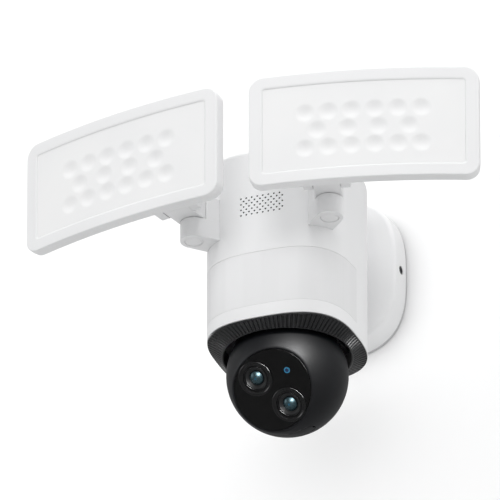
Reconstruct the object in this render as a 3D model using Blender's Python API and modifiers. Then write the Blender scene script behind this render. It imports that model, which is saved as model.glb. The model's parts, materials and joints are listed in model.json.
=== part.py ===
"""Wall floodlight camera: two swivelling lamps and a pan-and-tilt camera head.

Frame: the origin is the centre of the wall face of the mounting bracket, the
wall is the plane y = 0, the object reaches out along -Y, +Z is up and +X is to
the right of someone who looks at the front. Lengths below are in millimetres.
"""
import bpy
import bmesh
from math import sin, cos, pi, radians, sqrt, atan2
from mathutils import Matrix, Vector

MM = 0.001
GAP = 0.3                      # clearance between two touching pieces

# ---- body -----------------------------------------------------------------
BODY_HALF = 50.0               # half width and half depth of the body
BODY_EXP = 2.9                 # roundness of its plan outline
BODY_Y = -78.7                 # body axis
BODY_TOP = 42.8
BODY_BOTTOM = -84.5
BODY_WALL = 3.0
BODY_SPLIT = -42.7             # front housing ends here, rear cover goes on
SEGS = 48

# ---- motion-sensor window -------------------------------------------------
PIR_TOP = -35.2
PIR_BOTTOM = -74.9
PIR_THICK = 1.25

# ---- speaker grille -------------------------------------------------------
GRILLE_Z = 0.4
GRILLE_PITCH_X = 1.95
GRILLE_PITCH_Z = 4.2
GRILLE_COLS = 16
GRILLE_HOLE_R = 0.62

# ---- wall base ------------------------------------------------------------
BASE_HALF = 55.0
BASE_EXP = 3.05
BASE_DEPTH = 19.3
BASE_WALL = 2.6
GASKET = 1.6
NECK_R = 26.0
NECK_BORE = 22.0

# ---- ring and camera head -------------------------------------------------
RING_Z = -91.1                 # lower inner edge of the ribbed ring
RING_BORE = 42.5
BALL_R = 40.7
BALL_WALL = 3.5
BALL_Z = -104.7
FACE_D = 29.5                  # flat face, from the ball's centre
PAN_REST = 8.0                 # degrees to the left at rest
TILT_REST = 44.0               # degrees below the horizon at rest
TILT_UP = 30.0                 # travel from rest
TILT_DOWN = 34.0
LENS_A = (-8.4, 10.7)          # wide lens, on the face
LENS_B = (8.4, -11.8)          # narrow lens
LED_AT = (14.7, 10.9)
LENS_RING_R = 12.0

# ---- gears ----------------------------------------------------------------
PAN_MODULE, PAN_TEETH, PAN_PINION_TEETH = 2.0, 24, 8
TILT_MODULE, TILT_TEETH, TILT_PINION_TEETH = 1.25, 24, 8

# ---- arms and hinges ------------------------------------------------------
PIVOT_X = 48.0
PIVOT_Y = -128.0
ARM_R = 9.15
ARM_BOTTOM = -19.2
ARM_STEP = -5.0
ARM_TOP = 12.0
YAW_REST = 13.9
KNUCKLE_R = 9.2
KNUCKLE_TOP = 10.7
PIN_N = 20.0                   # tilt pin, ahead of the swivel axis
PIN_Z = 3.0
PIN_R = 2.4
EAR_IN, EAR_OUT = 9.5, 15.7
EAR_REAR = 12.5

# ---- lamps ----------------------------------------------------------------
LAMP_W = 153.5
LAMP_H = 81.5
LAMP_T = 10.3
LAMP_C = 27.7                  # lamp centre, outward from its pivot
LAMP_N = 51.3                  # crown of the front face, ahead of the pivot
LAMP_Z = 23.2
LAMP_BEND = 474.0              # radius of the curved panel
LAMP_CORNER = 9.7
LAMP_BORDER = 9.3
LED_ROWS = ((13.3, (-38.75, -23.25, -7.75, 7.75, 23.25, 38.75)),
            (0.0, (-30.6, -10.2, 10.2, 30.6)),
            (-13.3, (-38.75, -23.25, -7.75, 7.75, 23.25, 38.75)))

for old in list(bpy.data.objects):
    bpy.data.objects.remove(old, do_unlink=True)

PARTS = bpy.data.collections.new("floodlight_camera")
TOOLS = bpy.data.collections.new("cutters")
bpy.context.scene.collection.children.link(PARTS)
bpy.context.scene.collection.children.link(TOOLS)


# ---- materials ------------------------------------------------------------
def material(name, colour, roughness, metallic=0.0, alpha=1.0):
    mat = bpy.data.materials.new(name)
    mat.use_nodes = True
    shader = mat.node_tree.nodes["Principled BSDF"]
    shader.inputs["Base Color"].default_value = (*colour, 1.0)
    shader.inputs["Roughness"].default_value = roughness
    shader.inputs["Metallic"].default_value = metallic
    shader.inputs["Alpha"].default_value = alpha
    mat.diffuse_color = (*colour, 1.0)
    return mat


WHITE = material("white_plastic", (0.86, 0.87, 0.88), 0.45)
WINDOW = material("sensor_window", (0.82, 0.83, 0.85), 0.38)
DIFFUSER = material("frosted_diffuser", (0.95, 0.95, 0.95), 0.3)
BLACK = material("black_plastic", (0.02, 0.021, 0.023), 0.42)
GLOSS = material("gloss_black", (0.008, 0.008, 0.009), 0.08)
GLASS = material("lens_glass", (0.06, 0.12, 0.14), 0.03)
LED_BLUE = material("status_blue", (0.05, 0.35, 0.9), 0.2)
STEEL = material("zinc_steel", (0.6, 0.6, 0.6), 0.35, 1.0)
SCREW = material("dark_screw", (0.12, 0.12, 0.12), 0.35, 1.0)
RUBBER = material("grey_rubber", (0.3, 0.3, 0.31), 0.7)
BOARD = material("circuit_board", (0.03, 0.16, 0.07), 0.5)
ALU = material("aluminium", (0.75, 0.75, 0.76), 0.4, 1.0)
NYLON = material("gear_nylon", (0.82, 0.8, 0.72), 0.5)


# ---- helpers --------------------------------------------------------------
def put(obj, mat=None, parent=None, matrix=None, tool=False):
    (TOOLS if tool else PARTS).objects.link(obj)
    if parent is not None:
        obj.parent = parent
    if matrix is not None:
        obj.matrix_basis = matrix
    if mat is not None:
        obj.data.materials.append(mat)
    if tool:
        obj.hide_render = True
        obj.display_type = 'WIRE'
    return obj


def from_bmesh(name, bm, smooth=True):
    mesh = bpy.data.meshes.new(name)
    bmesh.ops.recalc_face_normals(bm, faces=bm.faces[:])
    if bm.calc_volume(signed=True) < 0:
        bmesh.ops.reverse_faces(bm, faces=bm.faces[:])
    bm.to_mesh(mesh)
    bm.free()
    if smooth:
        mesh.shade_smooth()
        mesh.set_sharp_from_angle(angle=radians(35))
    return bpy.data.objects.new(name, mesh)


def loft(name, rings, closed=False):
    """Skin a row of rings that have the same number of points."""
    bm = bmesh.new()
    rows = [[bm.verts.new(Vector(p) * MM) for p in ring] for ring in rings]
    count = len(rows[0])
    pairs = list(zip(rows, rows[1:]))
    if closed:
        pairs.append((rows[-1], rows[0]))
    else:
        bm.faces.new(rows[0])
        bm.faces.new(rows[-1])
    for low, high in pairs:
        for i in range(count):
            j = (i + 1) % count
            bm.faces.new((low[i], low[j], high[j], high[i]))
    return from_bmesh(name, bm)


def box(name, low, high):
    bm = bmesh.new()
    bmesh.ops.create_cube(bm, size=1.0)
    low, high = Vector(low) * MM, Vector(high) * MM
    for v in bm.verts:
        v.co = Vector([low[i] if v.co[i] < 0 else high[i] for i in range(3)])
    return from_bmesh(name, bm, smooth=False)


def cylinder(name, radius, low, high, segs=24, frame=Matrix.Identity(4), radius2=None):
    """A cylinder along the frame's Z axis from low to high."""
    bm = bmesh.new()
    bmesh.ops.create_cone(bm, cap_ends=True, segments=segs, radius1=radius * MM,
                          radius2=(radius if radius2 is None else radius2) * MM,
                          depth=(high - low) * MM)
    bmesh.ops.translate(bm, vec=(0, 0, (low + high) / 2 * MM), verts=bm.verts[:])
    bm.transform(frame)
    return from_bmesh(name, bm)


def prism(name, outline, low, high, frame=Matrix.Identity(4)):
    """An outline in the frame's XY plane, extruded along its Z axis."""
    obj = loft(name, [[(x, y, low) for x, y in outline], [(x, y, high) for x, y in outline]])
    obj.data.transform(frame)
    if frame.to_3x3().determinant() < 0:
        obj.data.flip_normals()
    return obj


def turned(name, profile, steps=24, ring=False):
    """A profile of (radius, height) turned about local Z with a Screw modifier.

    The profile runs down the outer side, top to bottom, and ends on the axis
    unless it is a closed ring."""
    bm = bmesh.new()
    verts = [bm.verts.new((r * MM, 0.0, z * MM)) for r, z in profile]
    for a, b in zip(verts, verts[1:]):
        bm.edges.new((a, b))
    if ring:
        bm.edges.new((verts[-1], verts[0]))
    mesh = bpy.data.meshes.new(name)
    bm.to_mesh(mesh)
    bm.free()
    obj = bpy.data.objects.new(name, mesh)
    screw = obj.modifiers.new("turn", 'SCREW')
    screw.axis = 'Z'
    screw.angle = 2 * pi
    screw.steps = steps
    screw.render_steps = steps
    screw.use_merge_vertices = True
    screw.merge_threshold = 0.00001
    screw.use_smooth_shade = True
    return obj


def boolean(obj, tool, operation='DIFFERENCE'):
    mod = obj.modifiers.new(operation.lower(), 'BOOLEAN')
    mod.operation = operation
    mod.object = tool
    mod.solver = 'EXACT'
    return obj


def cutter(obj, parent=None, matrix=None):
    return put(obj, tool=True, parent=parent, matrix=matrix)


def empty(name, matrix, parent=None):
    obj = bpy.data.objects.new(name, None)
    obj.empty_display_size = 0.01
    PARTS.objects.link(obj)
    if parent is not None:
        obj.parent = parent
    obj.matrix_basis = matrix
    return obj


def squircle_r(theta, half, exponent):
    return half / (abs(cos(theta)) ** exponent + abs(sin(theta)) ** exponent) ** (1 / exponent)


def squircle(half, exponent, segs=SEGS):
    """Outline points at equal angles, as (u, v) pairs."""
    out = []
    for i in range(segs):
        t = 2 * pi * i / segs
        r = squircle_r(t, half, exponent)
        out.append((r * cos(t), r * sin(t)))
    return out


def body_ring(half, z, exponent=BODY_EXP):
    return [(x, BODY_Y + y, z) for x, y in squircle(half, exponent)]


def base_ring(half, y, segs=SEGS):
    return [(x, y, z) for x, z in squircle(half, BASE_EXP, segs)]


def circle_ring(radius, z):
    return body_ring(radius, z, 2.0)


def stadium(length, width, segs=8):
    """Round-ended slot outline, long along the first axis."""
    out = []
    r, half = width / 2, (length - width) / 2
    for i in range(segs + 1):
        t = -pi / 2 + pi * i / segs
        out.append((half + r * cos(t), r * sin(t)))
    for i in range(segs + 1):
        t = pi / 2 + pi * i / segs
        out.append((-half + r * cos(t), r * sin(t)))
    return out


def gear_outline(teeth, module, phase):
    """Straight-flanked teeth with generous backlash; phase in radians."""
    pitch = 2 * pi / teeth
    r_tip = teeth * module / 2 + 0.8 * module
    r_root = teeth * module / 2 - 1.15 * module
    out = []
    for k in range(teeth):
        a = phase + k * pitch
        out += [(r_root * cos(a - 0.25 * pitch), r_root * sin(a - 0.25 * pitch)),
                (r_tip * cos(a - 0.10 * pitch), r_tip * sin(a - 0.10 * pitch)),
                (r_tip * cos(a + 0.10 * pitch), r_tip * sin(a + 0.10 * pitch)),
                (r_root * cos(a + 0.25 * pitch), r_root * sin(a + 0.25 * pitch))]
    return out


def axes(x, y, z, origin=(0, 0, 0)):
    """Frame from three direction vectors and an origin in millimetres."""
    m = Matrix.Identity(4)
    for i, v in enumerate((x, y, z)):
        for j in range(3):
            m[j][i] = v[j]
    for j in range(3):
        m[j][3] = origin[j] * MM
    return m


ALONG_X = axes((0, 1, 0), (0, 0, 1), (1, 0, 0))      # local Z runs along +X
BACK = axes((1, 0, 0), (0, 0, -1), (0, 1, 0))        # local Z +Y, X kept


TWIST = Matrix.Rotation(0.13, 4, 'Z')


def at(x, y, z):
    return Matrix.Translation(Vector((x, y, z)) * MM)


# ==== wall base ============================================================
# Steel U bracket that screws to the wall box; the cover's two side screws
# go into its turned ends.
u_outline = [(-51.5, 0.0), (51.5, 0.0), (51.5, -14.0), (49.5, -14.0), (49.5, -2.0),
             (-49.5, -2.0), (-49.5, -14.0), (-51.5, -14.0)]
bracket = put(prism("mounting_bracket", u_outline, -15.0, 15.0), STEEL)
for i, x in enumerate((-35.0, 35.0)):
    slot = cutter(prism("cut_bracket_slot_%d" % i, stadium(20.0, 5.2), -1.0, 4.0,
                        at(x, -3.0, 0.0) @ BACK))
    boolean(bracket, slot)
pilot = cutter(cylinder("cut_bracket_pilots", 1.85, -53.0, 53.0, 12, at(0, -9.6, 0) @ ALONG_X))
boolean(bracket, pilot)

put(loft("base_gasket", [base_ring(56.2, 0.0, 40), base_ring(56.2, -GASKET, 40),
                         base_ring(53.4, -GASKET, 40), base_ring(53.4, 0.0, 40)], closed=True), RUBBER)

front = -BASE_DEPTH
cover = put(loft("base_cover", [
    base_ring(BASE_HALF - BASE_WALL, front + BASE_WALL),
    base_ring(BASE_HALF + 1.5 - BASE_WALL, -GASKET - GAP),
    base_ring(BASE_HALF + 1.5, -GASKET - GAP),
    base_ring(BASE_HALF + 0.2, front + 2.6),
    base_ring(BASE_HALF - 0.6, front + 1.0),
    base_ring(BASE_HALF - 1.8, front + 0.25),
    base_ring(BASE_HALF - 3.0, front)]), WHITE)
boolean(cover, cutter(cylinder("cut_neck_hole", NECK_R + GAP, front - 3.0, front + 6.0, 36,
                                BACK @ TWIST)))
boolean(cover, cutter(cylinder("cut_lock_bore", 1.75, -60.0, 60.0, 12,
                                at(0, -9.6, 0) @ ALONG_X @ TWIST)))
for i, side in enumerate((-1, 1)):
    low, high = sorted((side * 54.5, side * 60.0))
    boolean(cover, cutter(cylinder("cut_lock_seat_%d" % i, 3.1, low, high, 16,
                                   at(0, -9.6, 0) @ ALONG_X @ TWIST)))

cross = [(-0.35, -1.6), (0.35, -1.6), (0.35, -0.35), (1.6, -0.35), (1.6, 0.35), (0.35, 0.35),
         (0.35, 1.6), (-0.35, 1.6), (-0.35, 0.35), (-1.6, 0.35), (-1.6, -0.35), (-0.35, -0.35)]
for name, side in (("lock_screw_left", -1), ("lock_screw_right", 1)):
    frame = at(0, -9.6, 0) @ (ALONG_X if side > 0 else axes((0, -1, 0), (0, 0, 1), (-1, 0, 0)))
    screw = put(turned(name, [(0.0, 56.0), (2.2, 56.0), (2.8, 55.6), (2.8, 54.8), (1.35, 54.8),
                              (1.35, 47.6), (0.0, 46.4)], 12), SCREW, matrix=frame)
    boolean(screw, cutter(prism("cut_" + name, cross, 55.1, 57.0, frame)))

put(turned("neck_lock_ring", [(31.0, -12.8), (31.0, -16.4), (NECK_R + GAP, -16.4),
                              (NECK_R + GAP, -12.8)], 24, ring=True), ALU, matrix=BACK)
put(turned("cable_grommet", [(NECK_BORE - GAP, -14.0), (NECK_BORE - GAP, -18.0), (7.0, -18.0),
                             (6.0, -16.0), (7.0, -14.0)], 20, ring=True), RUBBER, matrix=BACK)
block = put(box("terminal_block", (-16, -16.4, -44), (16, -5.5, -33)), NYLON)
for i, x in enumerate((-10.0, 0.0, 10.0)):
    boolean(block, cutter(cylinder("cut_terminal_%d" % i, 2.2, -36.5, -30.0, 8, at(x, -10.5, 0))))

# ==== body =================================================================
inner = BODY_HALF - BODY_WALL


def body_cup(name):
    return loft(name, [body_ring(inner, BODY_TOP - BODY_WALL),
                       body_ring(inner, BODY_BOTTOM),
                       body_ring(BODY_HALF - 0.6, BODY_BOTTOM),
                       body_ring(BODY_HALF, BODY_BOTTOM + 0.6),
                       body_ring(BODY_HALF, BODY_TOP - 3.0),
                       body_ring(BODY_HALF - 0.9, BODY_TOP - 0.9),
                       body_ring(BODY_HALF - 3.0, BODY_TOP)])


def band(name, outer, inner_half, start, stop, low, high, shift=0.0):
    """Strip that follows the body's outline between two angles in degrees."""
    step = 360.0 / SEGS
    angles = [start] + [k * step + shift for k in range(2 * SEGS)
                        if start + 1 < k * step + shift < stop - 1] + [stop]
    sections = []
    for deg in angles:
        t = radians(deg)
        section = []
        for half, z in ((outer, low), (outer, high), (inner_half, high), (inner_half, low)):
            r = squircle_r(t, half, BODY_EXP)
            section.append((r * cos(t), BODY_Y + r * sin(t), z))
        sections.append(section)
    return loft(name, sections)


housing = put(body_cup("body_housing"), WHITE)
boolean(housing, cutter(box("cut_body_rear", (-60, BODY_SPLIT, -100), (60, 0, 60))))
boolean(housing, cutter(band("cut_window_seat", 52.0, BODY_HALF - PIR_THICK - GAP, 183.1, 356.9,
                             PIR_BOTTOM - GAP, PIR_TOP + GAP, 2.7)))
boolean(housing, cutter(band("cut_window_view", 52.0, 44.0, 192.0, 348.0,
                             PIR_BOTTOM + 3.4, PIR_TOP - 3.4, 3.3)))
grille = bmesh.new()
for col in range(GRILLE_COLS):
    x = (col - (GRILLE_COLS - 1) / 2) * GRILLE_PITCH_X
    rows = (-1, 0, 1) if col % 2 else (-1.5, -0.5, 0.5, 1.5)
    for row in rows:
        made = bmesh.ops.create_cone(grille, cap_ends=True, segments=4, radius1=GRILLE_HOLE_R * MM,
                                     radius2=GRILLE_HOLE_R * MM, depth=12 * MM)["verts"]
        bmesh.ops.transform(grille, verts=made, matrix=at(
            x, BODY_Y - BODY_HALF + 1.0, GRILLE_Z + row * GRILLE_PITCH_Z) @ BACK)
boolean(housing, cutter(from_bmesh("cut_grille", grille)))

rear = put(body_cup("rear_cover"), WHITE)
boolean(rear, cutter(box("cut_body_front", (-60, -200, -100), (60, BODY_SPLIT + GAP, 60))))
boolean(rear, cutter(cylinder("add_neck", NECK_R, -31.0, -12.8, 36, BACK @ TWIST)), 'UNION')
boolean(rear, cutter(cylinder("cut_neck_bore", NECK_BORE, -36.0, -10.0, 36, BACK @ TWIST)))

put(band("pir_window", BODY_HALF, BODY_HALF - PIR_THICK, 183.4, 356.6, PIR_BOTTOM, PIR_TOP), WINDOW)
put(box("pir_board", (-30, -111.8, -55.6), (30, -110.2, -38)), BOARD)
for name, x in (("pir_sensor_left", -21.0), ("pir_sensor_front", 0.0), ("pir_sensor_right", 21.0)):
    put(turned(name, [(0.0, -112.1), (4.6, -112.1), (4.6, -112.7), (4.1, -112.7), (4.1, -116.4),
                      (0.0, -116.4)], 12), ALU, matrix=at(x, 0, -47) @ BACK)

put(turned("speaker", [(0.0, -111.0), (8.0, -111.0), (8.0, -117.0), (14.0, -121.0), (14.0, -124.5),
                       (12.5, -124.5), (5.0, -120.5), (0.0, -121.8)], 18), BLACK,
    matrix=at(0, 0, GRILLE_Z) @ BACK)
put(box("inner_chassis", (-37, -80.2, -46), (37, -77.2, 38.5)), NYLON)
put(box("main_board", (-32, -82.1, -34), (32, -80.5, 34)), BOARD)
put(box("power_board", (-28, -76.9, -30), (28, -75.3, 30)), BOARD)
put(box("power_module", (-16, -75.0, -14), (16, -57.0, 12)), BLACK)

# ==== ribbed ring ==========================================================
put(loft("ribbed_ring", [circle_ring(RING_BORE, -80.0), body_ring(46.6, -80.0),
                         body_ring(46.6, BODY_BOTTOM - GAP), body_ring(49.6, BODY_BOTTOM - GAP),
                         body_ring(49.8, -85.7), circle_ring(43.6, RING_Z),
                         circle_ring(RING_BORE, RING_Z + 0.3)], closed=True), BLACK)

# ==== pan drive ============================================================
put(turned("bearing_plate", [(46.0, -56.0), (46.0, -59.0), (12.5, -59.0), (12.5, -56.0)], 32,
           ring=True), NYLON, matrix=at(0, BODY_Y, 0))
pan_axis = empty("pan_axis", at(0, BODY_Y, 0))
PAN_MESH_Y = (PAN_TEETH + PAN_PINION_TEETH) * PAN_MODULE / 2
put(turned("pan_motor", [(0.0, -31.0), (10.0, -31.0), (10.0, -50.0), (1.5, -50.0), (1.5, -50.6),
                         (0.0, -50.6)], 24), ALU, matrix=at(0, BODY_Y + PAN_MESH_Y, 0))
pan_pinion_axis = empty("pan_pinion_axis", at(0, BODY_Y + PAN_MESH_Y, 0))
put(prism("pan_pinion", gear_outline(PAN_PINION_TEETH, PAN_MODULE,
                                        -pi / 2 + pi / PAN_PINION_TEETH),
          -55.4, -51.0), NYLON, parent=pan_pinion_axis)

gear = put(prism("pan_gear", gear_outline(PAN_TEETH, PAN_MODULE, pi / 2), -55.6, -51.4), NYLON,
           parent=pan_axis)
boolean(gear, cutter(cylinder("cut_pan_gear", 12.3, -60.0, -45.0, 32, at(0, BODY_Y, 0))))

# ==== head frame: X across, Y up the face, Z out of the face ================
p, t = radians(PAN_REST), radians(TILT_REST)
ahead = Vector((-sin(p), -cos(p), 0.0))
lateral = Vector((cos(p), -sin(p), 0.0))
normal = ahead * cos(t) - Vector((0, 0, 1)) * sin(t)
face_up = ahead * sin(t) + Vector((0, 0, 1)) * cos(t)
tilt_axis = empty("tilt_axis", axes(lateral, face_up, normal, (0, 0, BALL_Z)), parent=pan_axis)
ACROSS = axes((0, 1, 0), (0, 0, 1), (1, 0, 0))       # head frame: local Z along the tilt axis

# yoke: hub in the bearing, flange under it, post into the head, cross boss
yoke = put(turned("pan_yoke", [(0.0, -50.0), (12.0, -50.0), (12.0, -59.3), (19.0, -59.3),
                               (19.0, -61.6), (5.0, -61.6), (5.0, BALL_Z + 3.0), (0.0, BALL_Z + 3.0)],
                  20), ALU, parent=pan_axis)
LATERAL_FRAME = axes(ahead, Vector((0, 0, 1)), lateral * -1, (0, BODY_Y, BALL_Z))
boolean(yoke, cutter(cylinder("add_yoke_boss", 7.0, -13.0, 13.0, 24, LATERAL_FRAME)), 'UNION')
boolean(yoke, cutter(cylinder("cut_yoke_axle", 3.25, -16.0, 16.0, 20, LATERAL_FRAME)))
boolean(yoke, cutter(cylinder("cut_yoke_cable", 2.4, -98.0, -40.0, 12, at(0, BODY_Y, 0))))

put(cylinder("tilt_axle", 3.0, -34.5, 34.5, 20,
             axes(ahead, Vector((0, 0, 1)), lateral * -1, (0, 0, BALL_Z))), STEEL, parent=pan_axis)

TILT_MESH = (TILT_TEETH + TILT_PINION_TEETH) * TILT_MODULE / 2
rearward = ahead * -1
motor_at = rearward * TILT_MESH
side_frame = axes(rearward, Vector((0, 0, 1)), lateral * 1, (motor_at.x, motor_at.y, BALL_Z))
if side_frame.to_3x3().determinant() < 0:
    side_frame = axes(rearward, Vector((0, 0, -1)), lateral * 1, (motor_at.x, motor_at.y, BALL_Z))
put(turned("tilt_motor", [(0.0, 19.5), (1.5, 19.5), (1.5, 19.0), (7.4, 19.0), (7.4, 1.0),
                          (0.0, 1.0)], 20), ALU, parent=pan_axis, matrix=side_frame)
tilt_pinion_axis = empty("tilt_pinion_axis", side_frame, parent=pan_axis)
put(prism("tilt_pinion", gear_outline(TILT_PINION_TEETH, TILT_MODULE,
                                         pi + pi / TILT_PINION_TEETH),
          19.9, 23.4), NYLON, parent=tilt_pinion_axis)

# ==== camera head (all in the head frame) ===================================
r_in = BALL_R - BALL_WALL
seat_r = 26.9
profile = []
steps_in, steps_out = 6, 11
rim_in = atan2(seat_r + 0.15, sqrt(r_in ** 2 - (seat_r + 0.15) ** 2))
for i in range(steps_in + 1):
    a = pi + (rim_in - pi) * i / steps_in
    profile.append((max(0.0, r_in * sin(a)) if i else 0.0, r_in * cos(a)))
profile.append((seat_r, FACE_D))
rim_out = atan2(sqrt(BALL_R ** 2 - FACE_D ** 2), FACE_D)
for i in range(steps_out + 1):
    a = rim_out + (pi - rim_out) * i / steps_out
    profile.append((BALL_R * sin(a) if i < steps_out else 0.0, BALL_R * cos(a)))
head = put(turned("head_shell", profile, 30), BLACK, parent=tilt_axis)

# slot that the yoke's post runs in, at the top and back of the ball
slot_low = radians(90 + TILT_REST - TILT_UP - 9)
slot_high = radians(90 + TILT_REST + TILT_DOWN + 9)
arc = []
for i in range(9):
    a = slot_low + (slot_high - slot_low) * i / 8
    arc.append((47.0 * sin(a), 47.0 * cos(a)))
for i in range(9):
    a = slot_high + (slot_low - slot_high) * i / 8
    arc.append((30.0 * sin(a), 30.0 * cos(a)))
boolean(head, cutter(prism("cut_post_slot", arc, -5.9, 5.9, ACROSS), parent=tilt_axis))
for i, side in enumerate((-1, 1)):
    low, high = sorted((side * 30.0, side * 38.6))
    boolean(head, cutter(cylinder("add_trunnion_%d" % i, 6.0, low, high, 20, ACROSS),
                         parent=tilt_axis), 'UNION')
for i, side in enumerate((-1, 1)):
    low, high = sorted((side * 28.0, side * 35.0))
    boolean(head, cutter(cylinder("cut_trunnion_%d" % i, 3.3, low, high, 20, ACROSS),
                         parent=tilt_axis))

# service flap low on the head, with the sync button under it
FLAP_ANGLE = 61.0              # degrees from the face normal, downwards
FLAP_LEN, FLAP_W, FLAP_T = 30.0, 9.5, 1.4
fa = radians(FLAP_ANGLE)
radial = Vector((0.0, -sin(fa), cos(fa)))
across = Vector((1.0, 0.0, 0.0))
flap_frame = axes(across, radial.cross(across), radial)


def patch(name, length, width, low, high, cols=9):
    """Round-ended plate that follows the ball between two radii."""
    r, half = width / 2, (length - width) / 2
    xs = []
    for i in range(4):
        xs.append(-half - r * cos(pi / 2 * i / 4))
    xs += [-half + 2 * half * i / cols for i in range(cols + 1)]
    for i in range(3, -1, -1):
        xs.append(half + r * cos(pi / 2 * i / 4))
    sections = []
    for x in xs:
        over = max(0.0, abs(x) - half)
        w = max(0.4, sqrt(max(0.0, r * r - over * over)))
        section = []
        for rad, ys in ((high, (-w, -w / 2, 0, w / 2, w)), (low, (w, 0, -w))):
            for y in ys:
                section.append((x, y, sqrt(rad * rad - x * x - y * y)))
        sections.append(section)
    obj = loft(name, sections)
    obj.data.transform(flap_frame)
    return obj


boolean(head, cutter(patch("cut_flap_pocket", FLAP_LEN + 2 * GAP, FLAP_W + 2 * GAP,
                           BALL_R - FLAP_T - GAP, BALL_R + 3.0), parent=tilt_axis))
BUTTON_X = 4.0
button_r = sqrt((BALL_R - FLAP_T - GAP) ** 2 - BUTTON_X ** 2)
boolean(head, cutter(cylinder("cut_button_hole", 2.8, 30.0, 42.0, 20,
                              flap_frame @ at(BUTTON_X, 0, 0)), parent=tilt_axis))
flap_axis = empty("service_flap_axis", flap_frame @ at(-FLAP_LEN / 2, 0, sqrt(
    BALL_R ** 2 - (FLAP_LEN / 2) ** 2)), parent=tilt_axis)
flap = patch("service_flap", FLAP_LEN, FLAP_W, BALL_R - FLAP_T, BALL_R)
flap.data.transform((flap_axis.matrix_basis).inverted())
put(flap, BLACK, parent=flap_axis)
boolean(flap, cutter(cylinder("cut_finger_notch", 1.7, 28.0, 44.0, 12,
                              flap_frame @ at(FLAP_LEN / 2 + 0.3, 0, 0)), parent=tilt_axis))

button_axis = empty("sync_button_axis", flap_frame @ at(BUTTON_X, 0, button_r - 1.0),
                    parent=tilt_axis)
put(turned("sync_button", [(0.0, 0.9), (1.9, 0.9), (2.4, 0.5), (2.4, -3.0), (3.8, -3.0),
                           (3.8, -4.0), (0.0, -4.0)], 16), RUBBER, parent=button_axis)

# face plate with two lens openings and the status light
plate_face = put(turned("face_plate", [(0.0, FACE_D), (26.6, FACE_D), (26.6, FACE_D - 2.2),
                                       (0.0, FACE_D - 2.2)], 30), GLOSS,
                 parent=tilt_axis)
for i, (lx, ly) in enumerate((LENS_A, LENS_B)):
    boolean(plate_face, cutter(cylinder("cut_lens_%d" % i, 9.3, 24.0, 33.0, 24, at(lx, ly, 0)),
                               parent=tilt_axis))
boolean(plate_face, cutter(cylinder("cut_status", 2.3, 24.0, 33.0, 16, at(*LED_AT, 0)),
                           parent=tilt_axis))
for name, (lx, ly) in (("wide_lens", LENS_A), ("tele_lens", LENS_B)):
    put(turned(name + "_ring", [(10.9, 30.9), (LENS_RING_R - 0.1, 29.8), (9.0, 29.8), (9.0, 26.0),
                                (7.9, 26.0), (7.9, 30.0)], 20, ring=True), BLACK, parent=tilt_axis,
        matrix=at(lx, ly, 0))
    put(turned(name + "_barrel", [(7.5, 28.6), (7.5, 12.6), (4.0, 12.6), (4.0, 25.0), (5.0, 25.0),
                                  (6.2, 28.6)], 14, ring=True), BLACK,
        parent=tilt_axis, matrix=at(lx, ly, 0))
    put(turned(name + "_glass", [(0.0, 28.3), (2.0, 28.1), (3.6, 27.5), (4.7, 26.6), (4.7, 25.3),
                                 (0.0, 25.3)], 12), GLASS, parent=tilt_axis, matrix=at(lx, ly, 0))
put(turned("status_light", [(0.0, 29.7), (1.5, 29.7), (1.9, 29.4), (1.9, 26.6), (0.0, 26.6)], 16),
    LED_BLUE, parent=tilt_axis, matrix=at(*LED_AT, 0))
put(box("sensor_board", (-18, -20, 10.6), (18, 20, 12.2)), BOARD, parent=tilt_axis)

# tilt gear on the trunnion side, turned so that a tooth faces the pinion
to_motor = Vector((rearward.dot(lateral), rearward.dot(face_up), rearward.dot(normal)))
phase = atan2(to_motor.z, to_motor.y)
tilt_gear = put(prism("tilt_gear", gear_outline(TILT_TEETH, TILT_MODULE, phase), 19.9, 23.4, ACROSS), NYLON,
                parent=tilt_axis)
boolean(tilt_gear, cutter(cylinder("cut_tilt_gear", 3.3, 15.0, 28.0, 20, ACROSS),
                          parent=tilt_axis))

# ==== arms, hinges and lamps ===============================================
reach = Vector((PIVOT_X, PIVOT_Y - BODY_Y, 0)).length
arm_angle = atan2(PIVOT_Y - BODY_Y, PIVOT_X)
body_cut = cutter(prism("cut_body_outline", squircle(BODY_HALF + GAP, BODY_EXP, 58), -100, 80,
                        at(0, BODY_Y, 0)))


def lamp_slab(name, width, height, corner, front_depth, back_depth, side, edge=0.0, back_edge=0.0,
              cols=10, turns=3):
    """Curved panel between two depths behind the crowned front face.

    The panel is skinned from upright sections along its width; edge rounds
    its front rim and back_edge its rear rim."""
    hw, hh = width / 2, height / 2
    us = [-hw + corner * (1 - cos(pi / 2 * i / turns)) for i in range(turns)]
    us += [-hw + corner + (width - 2 * corner) * i / cols for i in range(cols + 1)]
    us += [hw - corner * (1 - cos(pi / 2 * i / turns)) for i in range(turns - 1, -1, -1)]
    sections = []
    for u in us:
        over = max(0.0, abs(u) - (hw - corner))
        h = hh - corner + sqrt(max(0.0, corner ** 2 - over ** 2))
        bend = u * u / (2 * LAMP_BEND)
        near, far = LAMP_N - bend - front_depth, LAMP_N - bend - back_depth
        pts = [(near - edge, h), (near - edge * 0.3, h - edge * 0.3), (near, h - edge),
               (near, -h + edge), (near - edge * 0.3, -h + edge * 0.3), (near - edge, -h)] \
            if edge else [(near, h), (near, -h)]
        pts += [(far + back_edge, -h), (far + back_edge * 0.3, -h + back_edge * 0.3),
                (far, -h + back_edge), (far, h - back_edge),
                (far + back_edge * 0.3, h - back_edge * 0.3), (far + back_edge, h)] \
            if back_edge else [(far, -h), (far, h)]
        sections.append([(side * (LAMP_C + u), -n, LAMP_Z + z) for n, z in pts])
    return loft(name, sections)


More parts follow.
